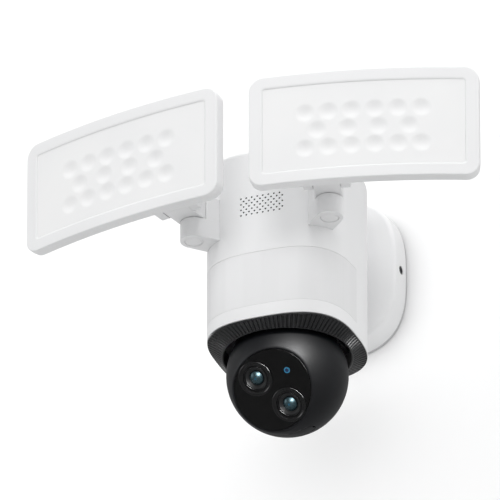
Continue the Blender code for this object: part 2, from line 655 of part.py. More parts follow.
for label, side in (("left", -1), ("right", 1)):
    # arm: low seat under the knuckle, tall web against the body
    frame = at(0, BODY_Y, 0) @ Matrix.Rotation(arm_angle if side > 0 else pi - arm_angle, 4, 'Z')
    seat = [(40.0, -ARM_R)]
    for i in range(13):
        a = -pi / 2 + pi * i / 12
        seat.append((reach + ARM_R * cos(a), ARM_R * sin(a)))
    seat.append((40.0, ARM_R))
    arm = put(prism(label + "_arm", seat, ARM_BOTTOM, ARM_STEP, frame), WHITE)
    half_web = ARM_R - 0.2
    web = [(41.0, -half_web), (reach - KNUCKLE_R - 0.9, -half_web),
           (reach - KNUCKLE_R - 0.9, half_web), (41.0, half_web)]
    boolean(arm, cutter(prism("add_%s_web" % label, web, ARM_STEP - 4.0, ARM_TOP, frame)), 'UNION')
    boolean(arm, body_cut)
    pivot = at(side * PIVOT_X, PIVOT_Y, 0)
    boolean(arm, cutter(cylinder("cut_%s_pivot" % label, 3.3, -25.0, 0.0, 20, pivot)))
    boolean(arm, cutter(cylinder("cut_%s_pivot_seat" % label, 6.2, -25.0, -16.4, 24, pivot)))

    swivel = empty(label + "_swivel_axis",
                   pivot @ Matrix.Rotation(radians(side * YAW_REST), 4, 'Z'))
    # swivel knuckle: upright barrel with a forward neck that carries the pin
    neck = [(0.0, ARM_STEP + GAP)]
    r_end = PIN_Z - ARM_STEP - GAP
    for i in range(11):
        a = -pi / 2 + pi * i / 10
        neck.append((PIN_N + r_end * cos(a), PIN_Z + r_end * sin(a)))
    neck.append((0.0, PIN_Z + r_end))
    side_view = axes((0, -1, 0), (0, 0, 1), (-1, 0, 0))     # X ahead, Y up, Z across
    knuckle = put(prism(label + "_knuckle", neck, -KNUCKLE_R, KNUCKLE_R, side_view), WHITE,
                  parent=swivel)
    boolean(knuckle, cutter(cylinder("add_%s_barrel" % label, KNUCKLE_R, ARM_STEP + GAP,
                                     KNUCKLE_TOP, 28), parent=swivel), 'UNION')
    boolean(knuckle, cutter(cylinder("cut_%s_pin_bore" % label, PIN_R + 0.2, -20.0, 20.0, 16,
                                     at(0, -PIN_N, PIN_Z) @ ALONG_X), parent=swivel))
    boolean(knuckle, cutter(cylinder("cut_%s_swivel_bore" % label, 2.1, -10.0, 4.0, 16),
                            parent=swivel))
    put(turned(label + "_swivel_screw", [(0.0, 3.5), (1.8, 3.5), (1.8, -16.7), (5.9, -16.7),
                                         (5.9, -18.9), (0.0, -18.9)], 18), WHITE, parent=swivel)

    tilt = empty(label + "_tilt_axis", at(0, -PIN_N, PIN_Z), parent=swivel)
    back = Matrix.Translation(-Vector((0, -PIN_N, PIN_Z)) * MM)

    def lamp_piece(obj, mat, tool=False):
        obj.data.transform(back)
        return put(obj, mat, parent=tilt, tool=tool)

    bezel = lamp_piece(lamp_slab(label + "_lamp_bezel", LAMP_W, LAMP_H, LAMP_CORNER, 0.0, 5.0,
                                 side, edge=1.2), WHITE)
    win_w, win_h = LAMP_W - 2 * LAMP_BORDER, LAMP_H - 2 * LAMP_BORDER
    boolean(bezel, lamp_piece(lamp_slab("cut_%s_window_seat" % label, win_w, win_h, 1.8, -3.0, 2.9,
                                        side, turns=1), None, tool=True))
    boolean(bezel, lamp_piece(lamp_slab("cut_%s_window_view" % label, win_w - 5, win_h - 5, 1.5,
                                        1.0, 8.0, side, turns=1), None, tool=True))
    lamp_piece(lamp_slab(label + "_lamp_window", win_w - 2 * GAP, win_h - 2 * GAP, 1.5, 0.8, 2.6,
                         side, turns=1), DIFFUSER)
    shell = lamp_piece(lamp_slab(label + "_lamp_housing", LAMP_W - 1.0, LAMP_H - 1.0,
                                 LAMP_CORNER - 0.5, 5.0 + GAP, LAMP_T, side, back_edge=1.6), WHITE)
    boolean(shell, lamp_piece(lamp_slab("cut_%s_cavity" % label, LAMP_W - 6.0, LAMP_H - 6.0,
                                        LAMP_CORNER - 3.0, 2.0, LAMP_T - 2.0, side), None,
                              tool=True))
    leds = lamp_piece(lamp_slab(label + "_led_board", LAMP_W - 14.0, LAMP_H - 14.0, 4.0, 6.7,
                                LAMP_T - 2.0 - GAP, side, turns=1), BOARD)
    chips = bmesh.new()
    for dz, row in LED_ROWS:
        for u in row:
            bend = u * u / (2 * LAMP_BEND)
            made = bmesh.ops.create_cube(chips, size=MM)["verts"]
            bmesh.ops.transform(chips, verts=made, matrix=back @ at(
                side * (LAMP_C + u), -(LAMP_N - bend - 6.5), LAMP_Z + dz) @ Matrix.Diagonal(
                (3.5, 1.6, 3.5, 1.0)))
    boolean(leds, put(from_bmesh("add_%s_leds" % label, chips, smooth=False), parent=tilt,
                      tool=True), 'UNION')

    # clevis: two ears round the knuckle's neck, its foot against the housing
    fork = lamp_piece(box(label + "_clevis", (-EAR_OUT, -43.0, ARM_STEP), (EAR_OUT, -EAR_REAR, 11.0)),
                      WHITE)
    boolean(fork, lamp_piece(box("cut_%s_clevis" % label, (-EAR_IN, -28.6, -20), (EAR_IN, 0, 20)),
                             None, tool=True))
    boolean(fork, lamp_piece(lamp_slab("cut_%s_clevis_foot" % label, LAMP_W + 10, LAMP_H + 10, 4.0,
                                       -8.0, LAMP_T + GAP, side), None, tool=True))
    boolean(fork, lamp_piece(cylinder("cut_%s_ear_bore" % label, PIN_R + 0.2, -20, 20, 16,
                                      at(0, -PIN_N, PIN_Z) @ ALONG_X), None, tool=True))
    put(cylinder(label + "_tilt_pin", PIN_R, -EAR_OUT + 0.2, EAR_OUT - 0.2, 16, ALONG_X), STEEL,
        parent=tilt)
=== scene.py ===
"""Looks of the wall floodlight camera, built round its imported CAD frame.

Lengths in the tables below are millimetres. Places come from the frame: joint
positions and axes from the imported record, and boxes of the CAD nodes.
"""
import json
import bpy
import bmesh
from math import sin, cos, pi, radians, degrees, sqrt, atan2, asin, acos
from mathutils import Matrix, Vector

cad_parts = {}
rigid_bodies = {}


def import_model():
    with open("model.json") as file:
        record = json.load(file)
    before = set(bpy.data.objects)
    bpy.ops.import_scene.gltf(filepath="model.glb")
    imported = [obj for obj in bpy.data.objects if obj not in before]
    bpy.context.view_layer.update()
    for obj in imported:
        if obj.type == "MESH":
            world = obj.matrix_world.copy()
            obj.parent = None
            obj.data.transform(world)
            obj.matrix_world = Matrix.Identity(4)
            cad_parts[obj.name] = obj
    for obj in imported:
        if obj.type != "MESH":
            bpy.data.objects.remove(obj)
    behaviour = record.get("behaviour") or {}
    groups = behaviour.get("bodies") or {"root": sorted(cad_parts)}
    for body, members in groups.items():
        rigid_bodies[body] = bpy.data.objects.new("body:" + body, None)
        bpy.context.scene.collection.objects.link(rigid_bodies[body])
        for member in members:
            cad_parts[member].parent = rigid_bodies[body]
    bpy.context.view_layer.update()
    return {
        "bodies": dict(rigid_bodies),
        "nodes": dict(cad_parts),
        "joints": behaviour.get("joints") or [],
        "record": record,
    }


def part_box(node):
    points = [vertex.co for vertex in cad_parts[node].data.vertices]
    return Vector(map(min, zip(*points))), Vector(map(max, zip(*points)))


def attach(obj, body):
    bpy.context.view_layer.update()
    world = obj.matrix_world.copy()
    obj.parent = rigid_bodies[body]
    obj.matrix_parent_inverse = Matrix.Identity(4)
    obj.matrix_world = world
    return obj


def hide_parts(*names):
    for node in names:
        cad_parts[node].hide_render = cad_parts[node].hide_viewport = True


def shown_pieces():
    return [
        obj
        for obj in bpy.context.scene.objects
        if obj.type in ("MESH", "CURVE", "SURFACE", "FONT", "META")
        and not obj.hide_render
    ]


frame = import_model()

MM = 0.001
NODES = frame["nodes"]
JOINTS = {j["name"]: j for j in frame["joints"]}
SLOT_OF = {s["node"]: s.get("material_slot") for s in frame["record"].get("subparts", [])}


def pos(joint):
    return Vector(JOINTS[joint]["pos_m"]) / MM


def low(node):
    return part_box(node)[0] / MM


def high(node):
    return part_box(node)[1] / MM


# ---- places from the frame -------------------------------------------------
BODY_Y = pos("camera_pan").y
BODY_TOP = high("body_housing").z
BODY_BOTTOM = low("body_housing").z
BODY_HALF = high("body_housing").x
BODY_SPLIT = high("body_housing").y
BASE_FRONT = low("base_cover").y
BASE_REAR = high("base_cover").y
GASKET_T = -low("base_gasket").y
PIR_TOP, PIR_BOTTOM = high("pir_window").z, low("pir_window").z
RING_TOP, RING_LOW = high("ribbed_ring").z, low("ribbed_ring").z
BALL = pos("camera_tilt")
LATERAL = Vector(JOINTS["camera_tilt"]["axis"]).normalized()
AHEAD = Vector((LATERAL.y, -LATERAL.x, 0.0))
ARM_LOW, ARM_HIGH = low("right_arm").z, high("right_arm").z

# ---- sizes that repeat the CAD model's -------------------------------------
BODY_EXP, BASE_EXP = 2.9, 3.05
BODY_WALL = 3.0
BASE_HALF = 55.0
NECK_R, NECK_BORE = 26.0, 22.0
RING_BORE = 42.5
BALL_R, BALL_WALL = 40.7, 3.5
TILT_REST, TILT_UP, TILT_DOWN = 44.0, 30.0, 34.0
LENS_A, LENS_B, LED_AT = (-8.4, 10.7), (8.4, -11.8), (14.7, 10.9)
YAW_REST = 13.9
ARM_R, ARM_STEP = 9.15, -5.0
KNUCKLE_R, KNUCKLE_TOP = 9.2, 10.7
PIN_N, PIN_Z, PIN_R = 20.0, 3.0, 2.4
EAR_IN, EAR_OUT, EAR_REAR = 9.5, 15.7, 12.5
LAMP_W, LAMP_H, LAMP_T = 153.5, 81.5, 10.3
LAMP_C, LAMP_N, LAMP_Z, LAMP_BEND = 27.7, 51.3, 23.2, 474.0
LAMP_CORNER, LAMP_BORDER = 9.7, 9.3
LED_ROWS = ((13.3, (-38.75, -23.25, -7.75, 7.75, 23.25, 38.75)),
            (0.0, (-30.6, -10.2, 10.2, 30.6)),
            (-13.3, (-38.75, -23.25, -7.75, 7.75, 23.25, 38.75)))
FINE = 192                     # points round a body outline

tilt = radians(TILT_REST)
NORMAL = AHEAD * cos(tilt) - Vector((0, 0, 1)) * sin(tilt)
FACE_UP = AHEAD * sin(tilt) + Vector((0, 0, 1)) * cos(tilt)


# ---- light ------------------------------------------------------------------
WORLD = 0.45
WALL_GLOW, WALL_POWER, WALL_DIR = 0.03, 40.0, (-0.40, -1.0, 0.22)
SOFT = {"glossy": False}
LIGHTS = (("top", (0.05, -0.35, 1.0), 2.4, 1.2, 1.2, 35.0, SOFT),
          ("left", (-0.92, -0.40, 0.05), 2.4, 1.2, 1.2, 11.5, {}),
          ("front", (0.15, -1.0, 0.25), 2.4, 1.2, 1.2, 16.0, SOFT),
          ("side", (0.70, -0.72, -0.30), 2.4, 1.2, 1.2, 7.5, SOFT),
          ("right", (0.97, -0.22, 0.25), 2.4, 1.2, 1.2, 5.0, {}))

# ---- materials: every one is procedural -------------------------------------
class Maker:
    """A Principled material with noise-driven colour, roughness and bump."""

    def __init__(self, name):
        self.mat = bpy.data.materials.new(name)
        self.mat.use_nodes = True
        self.tree = self.mat.node_tree
        self.shader = self.tree.nodes["Principled BSDF"]
        self.coord = self.tree.nodes.new("ShaderNodeTexCoord")

    def node(self, kind, **values):
        made = self.tree.nodes.new(kind)
        for key, value in values.items():
            if hasattr(made, key):
                setattr(made, key, value)
            else:
                made.inputs[key.replace("_", " ")].default_value = value
        return made

    def link(self, a, b):
        self.tree.links.new(a, b)

    def noise(self, scale, detail=3.0, rough=0.5, vector=None):
        made = self.node("ShaderNodeTexNoise", Scale=scale, Detail=detail, Roughness=rough)
        self.link(vector or self.coord.outputs["Object"], made.inputs["Vector"])
        return made.outputs["Fac"]

    def spread(self, fac, low, high, a=0.3, b=0.7):
        made = self.node("ShaderNodeMapRange")
        for key, value in (("From Min", a), ("From Max", b), ("To Min", low), ("To Max", high)):
            made.inputs[key].default_value = value
        self.link(fac, made.inputs["Value"])
        return made.outputs["Result"]

    def ramp(self, fac, stops, kind='LINEAR'):
        made = self.node("ShaderNodeValToRGB")
        made.color_ramp.interpolation = kind
        while len(made.color_ramp.elements) < len(stops):
            made.color_ramp.elements.new(0.5)
        for element, (at, colour) in zip(made.color_ramp.elements, stops):
            element.position = at
            element.color = (*colour, 1.0)
        self.link(fac, made.inputs["Fac"])
        return made.outputs["Color"]

    def bump(self, fac, distance, strength=1.0, normal=None):
        made = self.node("ShaderNodeBump", Strength=strength, Distance=distance)
        self.link(fac, made.inputs["Height"])
        if normal is not None:
            self.link(normal, made.inputs["Normal"])
        return made.outputs["Normal"]

    def set(self, **values):
        for key, value in values.items():
            self.shader.inputs[key.replace("_", " ")].default_value = value
        return self


def shades(colour, amount):
    return (tuple(c * (1 - amount) for c in colour), tuple(min(1.0, c * (1 + amount)) for c in colour))


def moulded(name, colour, roughness, grain=2600.0, depth=0.00003, tone=0.012, gloss=0.06, **extra):
    """Moulded plastic: eroded-mould grain, slight tone drift, uneven gloss."""
    m = Maker(name)
    dark, light = shades(colour, tone)
    drift = m.noise(14.0, 2.0)
    m.link(m.ramp(drift, ((0.35, dark), (0.65, light))), m.shader.inputs["Base Color"])
    m.link(m.spread(m.noise(55.0, 4.0), roughness - gloss, roughness + gloss), m.shader.inputs["Roughness"])
    m.link(m.bump(m.noise(grain, 2.0, 0.6), depth, 0.5), m.shader.inputs["Normal"])
    return m.set(**extra).mat


def metal(name, colour, roughness, stretch=(1, 1, 1), grain=500.0, **extra):
    m = Maker(name)
    dark, light = shades(colour, 0.08)
    squeeze = m.node("ShaderNodeMapping")
    squeeze.inputs["Scale"].default_value = stretch
    m.link(m.coord.outputs["Object"], squeeze.inputs["Vector"])
    streak = m.noise(grain, 4.0, 0.6, squeeze.outputs["Vector"])
    m.link(m.ramp(streak, ((0.3, dark), (0.7, light))), m.shader.inputs["Base Color"])
    m.link(m.spread(streak, roughness - 0.08, roughness + 0.1), m.shader.inputs["Roughness"])
    m.link(m.bump(streak, 0.00004, 0.3), m.shader.inputs["Normal"])
    return m.set(Metallic=1.0, **extra).mat


WHITE = moulded("white_plastic", (0.855, 0.857, 0.861), 0.42, Specular_IOR_Level=0.42)
LAMP_WHITE = moulded("lamp_white_plastic", (0.822, 0.824, 0.829), 0.36, Specular_IOR_Level=0.42)
BLACK = moulded("black_plastic", (0.010, 0.0102, 0.0112), 0.46, 2200.0, 0.00004, 0.15)
BALL_BLACK = moulded("ball_black_plastic", (0.0068, 0.0074, 0.0092), 0.47, 2400.0, 0.00003, 0.12, 0.03,
                     Specular_IOR_Level=0.22)
RIB_BLACK = moulded("ring_black_plastic", (0.009, 0.0093, 0.0105), 0.31, 2000.0, 0.00003, 0.15)
GLOSS = moulded("gloss_black", (0.0025, 0.0025, 0.0027), 0.24, 900.0, 0.000004, 0.1, 0.03,
                Specular_IOR_Level=0.17)
LENS_BLACK = moulded("lens_ring_black", (0.004, 0.004, 0.0046), 0.15, 1500.0, 0.000008, 0.15, 0.05,
                     Specular_IOR_Level=0.32)
GASKET_GREY = moulded("light_gasket", (0.62, 0.62, 0.63), 0.75, 1600.0, 0.00008, 0.04)
RUBBER = moulded("grey_rubber", (0.21, 0.21, 0.22), 0.72, 1500.0, 0.00006, 0.05)
NYLON = moulded("gear_nylon", (0.80, 0.77, 0.68), 0.48, 1400.0, 0.00003, 0.03)
STEEL = metal("zinc_steel", (0.60, 0.61, 0.63), 0.34, (1, 1, 6))
ALU = metal("aluminium", (0.72, 0.72, 0.74), 0.38, (1, 1, 1), 900.0)
SCREW = metal("dark_screw", (0.06, 0.06, 0.065), 0.36, (1, 1, 1), 1200.0)


def window_plastic():
    """Milky sensor window: upright lens facets inside show as faint bands."""
    m = Maker("sensor_window")
    shift = m.node("ShaderNodeMapping")
    shift.inputs["Location"].default_value = (0.0, -BODY_Y * MM, 0.0)
    m.link(m.coord.outputs["Object"], shift.inputs["Vector"])
    turn = m.node("ShaderNodeTexGradient", gradient_type='RADIAL')
    m.link(shift.outputs["Vector"], turn.inputs["Vector"])
    base = (0.822, 0.823, 0.828)

    def tone(k):
        return tuple(c * k for c in base)

    bands = m.ramp(turn.outputs["Fac"], (
        (0.000, tone(0.955)), (0.060, tone(0.955)), (0.075, tone(0.975)), (0.120, tone(0.975)),
        (0.127, tone(0.992)), (0.165, tone(0.985)), (0.172, tone(1.018)), (0.205, tone(1.02)),
        (0.212, tone(0.998)), (0.245, tone(0.998)), (0.252, tone(0.984)), (0.285, tone(0.99)),
        (0.292, tone(1.004)), (0.325, tone(0.998)), (0.332, tone(0.982)), (0.370, tone(0.978)),
        (0.380, tone(0.962)), (0.430, tone(0.955)), (0.440, tone(0.975)), (0.500, tone(0.975))))
    fine = m.node("ShaderNodeTexWave", wave_type='BANDS', bands_direction='X', Scale=360.0,
                  Distortion=0.0, Detail=0.0)
    m.link(m.coord.outputs["Object"], fine.inputs["Vector"])
    mixed = m.node("ShaderNodeMix", data_type='RGBA', blend_type='MULTIPLY')
    mixed.inputs["Factor"].default_value = 1.0
    m.link(bands, mixed.inputs[6])
    m.link(m.ramp(fine.outputs["Fac"], ((0.0, (0.99, 0.99, 0.99)), (1.0, (1.0, 1.0, 1.0)))), mixed.inputs[7])
    m.link(mixed.outputs[2], m.shader.inputs["Base Color"])
    m.link(m.spread(m.noise(60.0, 3.0), 0.33, 0.41), m.shader.inputs["Roughness"])
    m.link(m.bump(m.noise(2400.0, 2.0), 0.00002, 0.4), m.shader.inputs["Normal"])
    return m.mat


def diffuser():
    """Frosted lamp cover: pale, with a fine etched grain."""
    m = Maker("frosted_diffuser")
    m.link(m.ramp(m.noise(18.0, 2.0), ((0.35, (0.835, 0.837, 0.84)), (0.65, (0.855, 0.855, 0.855)))),
           m.shader.inputs["Base Color"])
    m.link(m.spread(m.noise(70.0, 3.0), 0.42, 0.52), m.shader.inputs["Roughness"])
    m.link(m.bump(m.noise(1800.0, 2.0), 0.00003, 0.35), m.shader.inputs["Normal"])
    return m.mat


def circuit():
    m = Maker("circuit_board")
    cells = m.node("ShaderNodeTexBrick", Scale=220.0)
    m.link(m.coord.outputs["Object"], cells.inputs["Vector"])
    for key, colour in (("Color1", (0.02, 0.13, 0.06)), ("Color2", (0.03, 0.16, 0.08)),
                        ("Mortar", (0.10, 0.24, 0.12))):
        cells.inputs[key].default_value = (*colour, 1.0)
    m.link(cells.outputs["Color"], m.shader.inputs["Base Color"])
    m.link(m.spread(m.noise(300.0), 0.35, 0.55), m.shader.inputs["Roughness"])
    m.link(m.bump(cells.outputs["Fac"], 0.00005, 0.4), m.shader.inputs["Normal"])
    return m.mat


def coated_glass(name, colour, roughness=0.04, tone=0.25, **extra):
    """Coated lens element: dark body tinted by its coating, or the colour of a painted reflection where one is given;
    faint swirl.
    """
    m = Maker(name)
    dark, light = shades(colour, tone)
    m.link(m.ramp(m.noise(380.0, 2.0), ((0.3, dark), (0.7, light))), m.shader.inputs["Base Color"])
    m.link(m.spread(m.noise(700.0, 2.0), roughness * 0.7, roughness * 1.3), m.shader.inputs["Roughness"])
    return m.set(**extra).mat


def glowing(name, colour, strength, roughness=0.25):
    m = Maker(name)
    dark, light = shades(colour, 0.12)
    tint = m.ramp(m.noise(900.0, 2.0), ((0.3, dark), (0.7, light)))
    m.link(tint, m.shader.inputs["Base Color"])
    m.link(tint, m.shader.inputs["Emission Color"])
    m.link(m.spread(m.noise(500.0), roughness - 0.05, roughness + 0.05), m.shader.inputs["Roughness"])
    m.shader.inputs["Emission Strength"].default_value = strength
    return m.mat


SENSOR = window_plastic()
FROST = diffuser()
BOARD = circuit()
GLASS_RIM = coated_glass("lens_glass_rim", (0.006, 0.012, 0.016), 0.12, Specular_IOR_Level=0.9)
GLASS_TINT = coated_glass("lens_glass_tint", (0.005, 0.017, 0.023), 0.29, Specular_IOR_Level=1.0,
                          Specular_Tint=(0.55, 0.85, 0.95, 1.0))
# Painted reflection: a bright cyan colour on the small centre disc of each lens glass, standing in for the bright spot
# that light makes there.
GLASS_PAINTED_REFLECTION = coated_glass("lens_glass_painted_reflection", (0.012, 0.075, 0.125), 0.10, Specular_IOR_Level=1.0,
                           Specular_Tint=(0.45, 0.8, 1.0, 1.0))
BLUE_RING = glowing("status_blue", (0.022, 0.15, 0.27), 0.36)
BLUE_CORE = glowing("status_blue_core", (0.004, 0.02, 0.07), 0.15)
GLINT = glowing("lens_glint", (0.12, 0.55, 0.85), 0.9, 0.15)

BY_SLOT = {"white_plastic": WHITE, "sensor_window": SENSOR, "frosted_diffuser": FROST,
           "black_plastic": BLACK, "gloss_black": GLOSS, "lens_glass": GLASS_TINT,
           "status_blue": BLUE_RING, "zinc_steel": STEEL, "dark_screw": SCREW,
           "grey_rubber": RUBBER, "circuit_board": BOARD, "aluminium": ALU, "gear_nylon": NYLON}


# ---- geometry helpers -------------------------------------------------------
def axes(x, y, z, origin=(0, 0, 0)):
    m = Matrix.Identity(4)
    for i, v in enumerate((x, y, z)):
        for j in range(3):
            m[j][i] = v[j]
    for j in range(3):
        m[j][3] = origin[j]
    return m


def at(x, y, z):
    return Matrix.Translation(Vector((x, y, z)))


EYE = Matrix.Identity(4)
ALONG_X = axes((0, 1, 0), (0, 0, 1), (1, 0, 0))      # local Z runs along +X
BACK = axes((1, 0, 0), (0, 0, -1), (0, 1, 0))        # local Z +Y
ACROSS = axes((0, 1, 0), (0, 0, 1), (1, 0, 0))
HEAD = axes(LATERAL, FACE_UP, NORMAL, BALL)


def finish_mesh(name, bm, materials, frame=EYE, angle=38.0, weighted=True):
    """Millimetres to metres, outward faces, smooth shading; returns the object."""
    bmesh.ops.transform(bm, matrix=Matrix.Scale(MM, 4) @ frame, verts=bm.verts[:])
    bmesh.ops.recalc_face_normals(bm, faces=bm.faces[:])
    if bm.calc_volume(signed=True) < 0:
        bmesh.ops.reverse_faces(bm, faces=bm.faces[:])
    mesh = bpy.data.meshes.new(name)
    bm.to_mesh(mesh)
    bm.free()
    for mat in materials if isinstance(materials, (list, tuple)) else [materials]:
        mesh.materials.append(mat)
    mesh.shade_smooth()
    mesh.set_sharp_from_angle(angle=radians(angle))
    obj = bpy.data.objects.new(name, mesh)
    bpy.context.scene.collection.objects.link(obj)
    if weighted:
        wn = obj.modifiers.new("weighted", 'WEIGHTED_NORMAL')
        wn.keep_sharp = True
        wn.weight = 100
    return obj


def skin(rings, closed=False, caps=True, tag=None):
    """Loft rings of equal length; tag gives each strip's material index."""
    bm = bmesh.new()
    rows = [[bm.verts.new(p) for p in ring] for ring in rings]
    count = len(rows[0])
    pairs = list(zip(rows, rows[1:]))
    if closed:
        pairs.append((rows[-1], rows[0]))
    elif caps:
        for index, row in ((0, rows[0]), (-1, rows[-1])):
            face = bm.faces.new(row)
            if tag:
                face.material_index = tag[index]
    for k, (one, two) in enumerate(pairs):
        for i in range(count):
            j = (i + 1) % count
            face = bm.faces.new((one[i], one[j], two[j], two[i]))
            if tag:
                face.material_index = tag[k]
    return bm


def turned(name, profile, materials, frame=EYE, steps=96, ring=False, tag=None, angle=38.0):
    """A profile of (radius, height) turned about local Z."""
    rings = []
    for r, z in profile:
        r = max(r, 0.02)
        rings.append([(r * cos(2 * pi * i / steps), r * sin(2 * pi * i / steps), z)
                      for i in range(steps)])
    return finish_mesh(name, skin(rings, closed=ring, tag=tag), materials, frame, angle)


def arc(cx, cy, r, start, stop, steps):
    """Points on an arc, angles in degrees."""
    return [(cx + r * cos(radians(start + (stop - start) * i / steps)),
             cy + r * sin(radians(start + (stop - start) * i / steps))) for i in range(steps + 1)]


def prism(name, outline, bottom, top, materials, frame=EYE, soft=0.0, steps=3):
    """An extruded outline; soft rounds its two rims by shrinking the outline."""
    rings = []
    if soft:
        for i in range(steps + 1):
            a = pi / 2 * i / steps
            rings.append((soft * (1 - sin(a)), bottom + soft * (1 - cos(a))))
        for i in range(steps + 1):
            a = pi / 2 * i / steps
            rings.append((soft * (1 - cos(a)), top - soft * (1 - sin(a))))
    else:
        rings = [(0.0, bottom), (0.0, top)]
    made = [[(x, y, z) for x, y in shrink(outline, inset)] for inset, z in rings]
    return finish_mesh(name, skin(made), materials, frame)


def shrink(outline, inset):
    """Move each outline point inwards along the average of its edges' normals."""
    if not inset:
        return list(outline)
    area = sum(a[0] * b[1] - b[0] * a[1] for a, b in zip(outline, outline[1:] + outline[:1]))
    turn = 1.0 if area > 0 else -1.0
    out = []
    n = len(outline)
    for i in range(n):
        p, q, r = (Vector(outline[k % n]) for k in (i - 1, i, i + 1))
        a, b = (q - p).normalized(), (r - q).normalized()
        na, nb = Vector((-a.y, a.x)) * turn, Vector((-b.y, b.x)) * turn
        mid = (na + nb).normalized()
        out.append(tuple(q + mid * (inset / max(0.5, mid.dot(na)))))
    return out


def round_corners(points, radii, steps=6):
    """Replace each corner of a polygon by an arc of its radius."""
    out = []
    n = len(points)
    for i in range(n):
        p, q, r = (Vector(points[k % n]) for k in (i - 1, i, i + 1))
        rad = radii[i] if isinstance(radii, (list, tuple)) else radii
        a, b = (p - q).normalized(), (r - q).normalized()
        if rad <= 0:
            out.append(tuple(q))
            continue
        angle = acos(max(-1, min(1, a.dot(b))))
        d = rad / max(1e-6, (sin(angle / 2) / cos(angle / 2)))
        centre = q + (a + b).normalized() * (rad / sin(angle / 2))
        s, e = q + a * d - centre, q + b * d - centre
        sa, ea = atan2(s.y, s.x), atan2(e.y, e.x)
        while ea - sa > pi:
            ea -= 2 * pi
        while ea - sa < -pi:
            ea += 2 * pi
        for k in range(steps + 1):
            t = sa + (ea - sa) * k / steps
            out.append((centre.x + rad * cos(t), centre.y + rad * sin(t)))
    return out


def solid(name, low_corner, high_corner, frame=EYE):
    """A plain block, for cutting only."""
    bm = bmesh.new()
    bmesh.ops.create_cube(bm, size=1.0)
    for v in bm.verts:
        v.co = Vector([low_corner[i] if v.co[i] < 0 else high_corner[i] for i in range(3)])
    return finish_mesh(name, bm, WHITE, frame, weighted=False)


def rod(name, radius, bottom, top, frame=EYE, steps=48):
    return finish_mesh(name, skin([[(radius * cos(2 * pi * i / steps), radius * sin(2 * pi * i / steps), z)
                                    for i in range(steps)] for z in (bottom, top)]),
                       WHITE, frame, weighted=False)


def carve(obj, *tools, how='DIFFERENCE', angle=38.0):
    """Cut or join with helper objects, keep the result as plain mesh, drop the helpers."""
    for tool in tools:
        mod = obj.modifiers.new("bool", 'BOOLEAN')
        mod.operation = how
        mod.object = tool
        mod.solver = 'EXACT'
        mod.material_mode = 'INDEX'
    keep = [m for m in obj.modifiers if m.type == 'WEIGHTED_NORMAL']
    had = bool(keep)
    for m in keep:
        obj.modifiers.remove(m)
    bpy.context.view_layer.update()
    mesh = bpy.data.meshes.new_from_object(obj.evaluated_get(bpy.context.evaluated_depsgraph_get()))
    old = obj.data
    obj.modifiers.clear()
    obj.data = mesh
    mesh.name = obj.name
    bpy.data.meshes.remove(old)
    mesh.shade_smooth()
    mesh.set_sharp_from_angle(angle=radians(angle))
    for tool in tools:
        data = tool.data
        bpy.data.objects.remove(tool, do_unlink=True)
        bpy.data.meshes.remove(data)
    if had:
        wn = obj.modifiers.new("weighted", 'WEIGHTED_NORMAL')
        wn.keep_sharp = True
        wn.weight = 100
    return obj


def join(name, objs):
    """Several finished meshes as one piece (they don't touch each other)."""
    bm = bmesh.new()
    for o in objs:
        bm.from_mesh(o.data)
    mesh = objs[0].data
    bm.to_mesh(mesh)
    bm.free()
    for o in objs[1:]:
        bpy.data.objects.remove(o, do_unlink=True)
    objs[0].name = name
    return objs[0]


def stands_for(obj, node, body):
    """The piece rides its body and hides its CAD node."""
    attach(obj, body)
    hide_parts(node)
    return obj


def squircle_r(theta, half, exponent):
    return half / (abs(cos(theta)) ** exponent + abs(sin(theta)) ** exponent) ** (1 / exponent)


def squircle(half, exponent, segs=FINE, phase=0.0):
    out = []
    for i in range(segs):
        t = 2 * pi * i / segs + phase
        r = squircle_r(t, half, exponent)
        out.append((r * cos(t), r * sin(t)))
    return out


def body_ring(half, z, exponent=BODY_EXP, segs=FINE):
    return [(x, BODY_Y + y, z) for x, y in squircle(half, exponent, segs)]


def base_ring(half, y, exponent=BASE_EXP, segs=FINE):
    return [(x, y, z) for x, z in squircle(half, exponent, segs)]


# ---- carried-over CAD nodes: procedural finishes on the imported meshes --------
for name, obj in NODES.items():
    mat = BY_SLOT.get(SLOT_OF.get(name), WHITE)
    if name == "bearing_plate":
        mat = BLACK
    obj.data.materials.clear()
    obj.data.materials.append(mat)
    obj.data.shade_smooth()
    obj.data.set_sharp_from_angle(angle=radians(32))

# ==== wall base ===============================================================
lip = 3.0
rings = [base_ring(56.25, BASE_REAR), base_ring(BASE_HALF + 1.5, BASE_REAR - 0.3)]
rings += [base_ring(BASE_HALF + 1.5 - 1.05 * k / 5, BASE_REAR - 0.3 - (13.8 * k / 5)) for k in range(1, 6)]
for x, y in arc(BASE_HALF + 0.35 - lip, BASE_FRONT + lip, lip, 0, -90, 9)[0:]:
    rings.append(base_ring(x, y))
for half, exponent in ((46.0, 3.0), (39.0, 2.75), (33.0, 2.35), (28.2, 2.05), (NECK_R + 0.75, 2.0)):
    rings.append(base_ring(half, BASE_FRONT, exponent))
rings.append(base_ring(NECK_R + 0.35, BASE_FRONT + 0.4, 2.0))
rings.append(base_ring(NECK_R + 0.35, BASE_FRONT + 2.6, 2.0))
rings.append(base_ring(BASE_HALF - 2.6, BASE_FRONT + 2.6))
rings.append(base_ring(BASE_HALF + 1.5 - 2.6, BASE_REAR))
cover = finish_mesh("base_cover_skin", skin(rings, closed=True), WHITE)
screw_y = (low("lock_screw_right").y + high("lock_screw_right").y) / 2
screw_z = (low("lock_screw_right").z + high("lock_screw_right").z) / 2
for side in (-1, 1):
    one, two = sorted((side * 54.4, side * 60.0))
    carve(cover, rod("seat", 3.15, one, two, at(0, screw_y, screw_z) @ ALONG_X @ Matrix.Rotation(0.07, 4, 'Z')),
          rod("bore", 1.7, min(0, side * 60), max(0, side * 60), at(0, screw_y, screw_z) @ ALONG_X @ Matrix.Rotation(0.03, 4, 'Z')))
stands_for(cover, "base_cover", "housing")

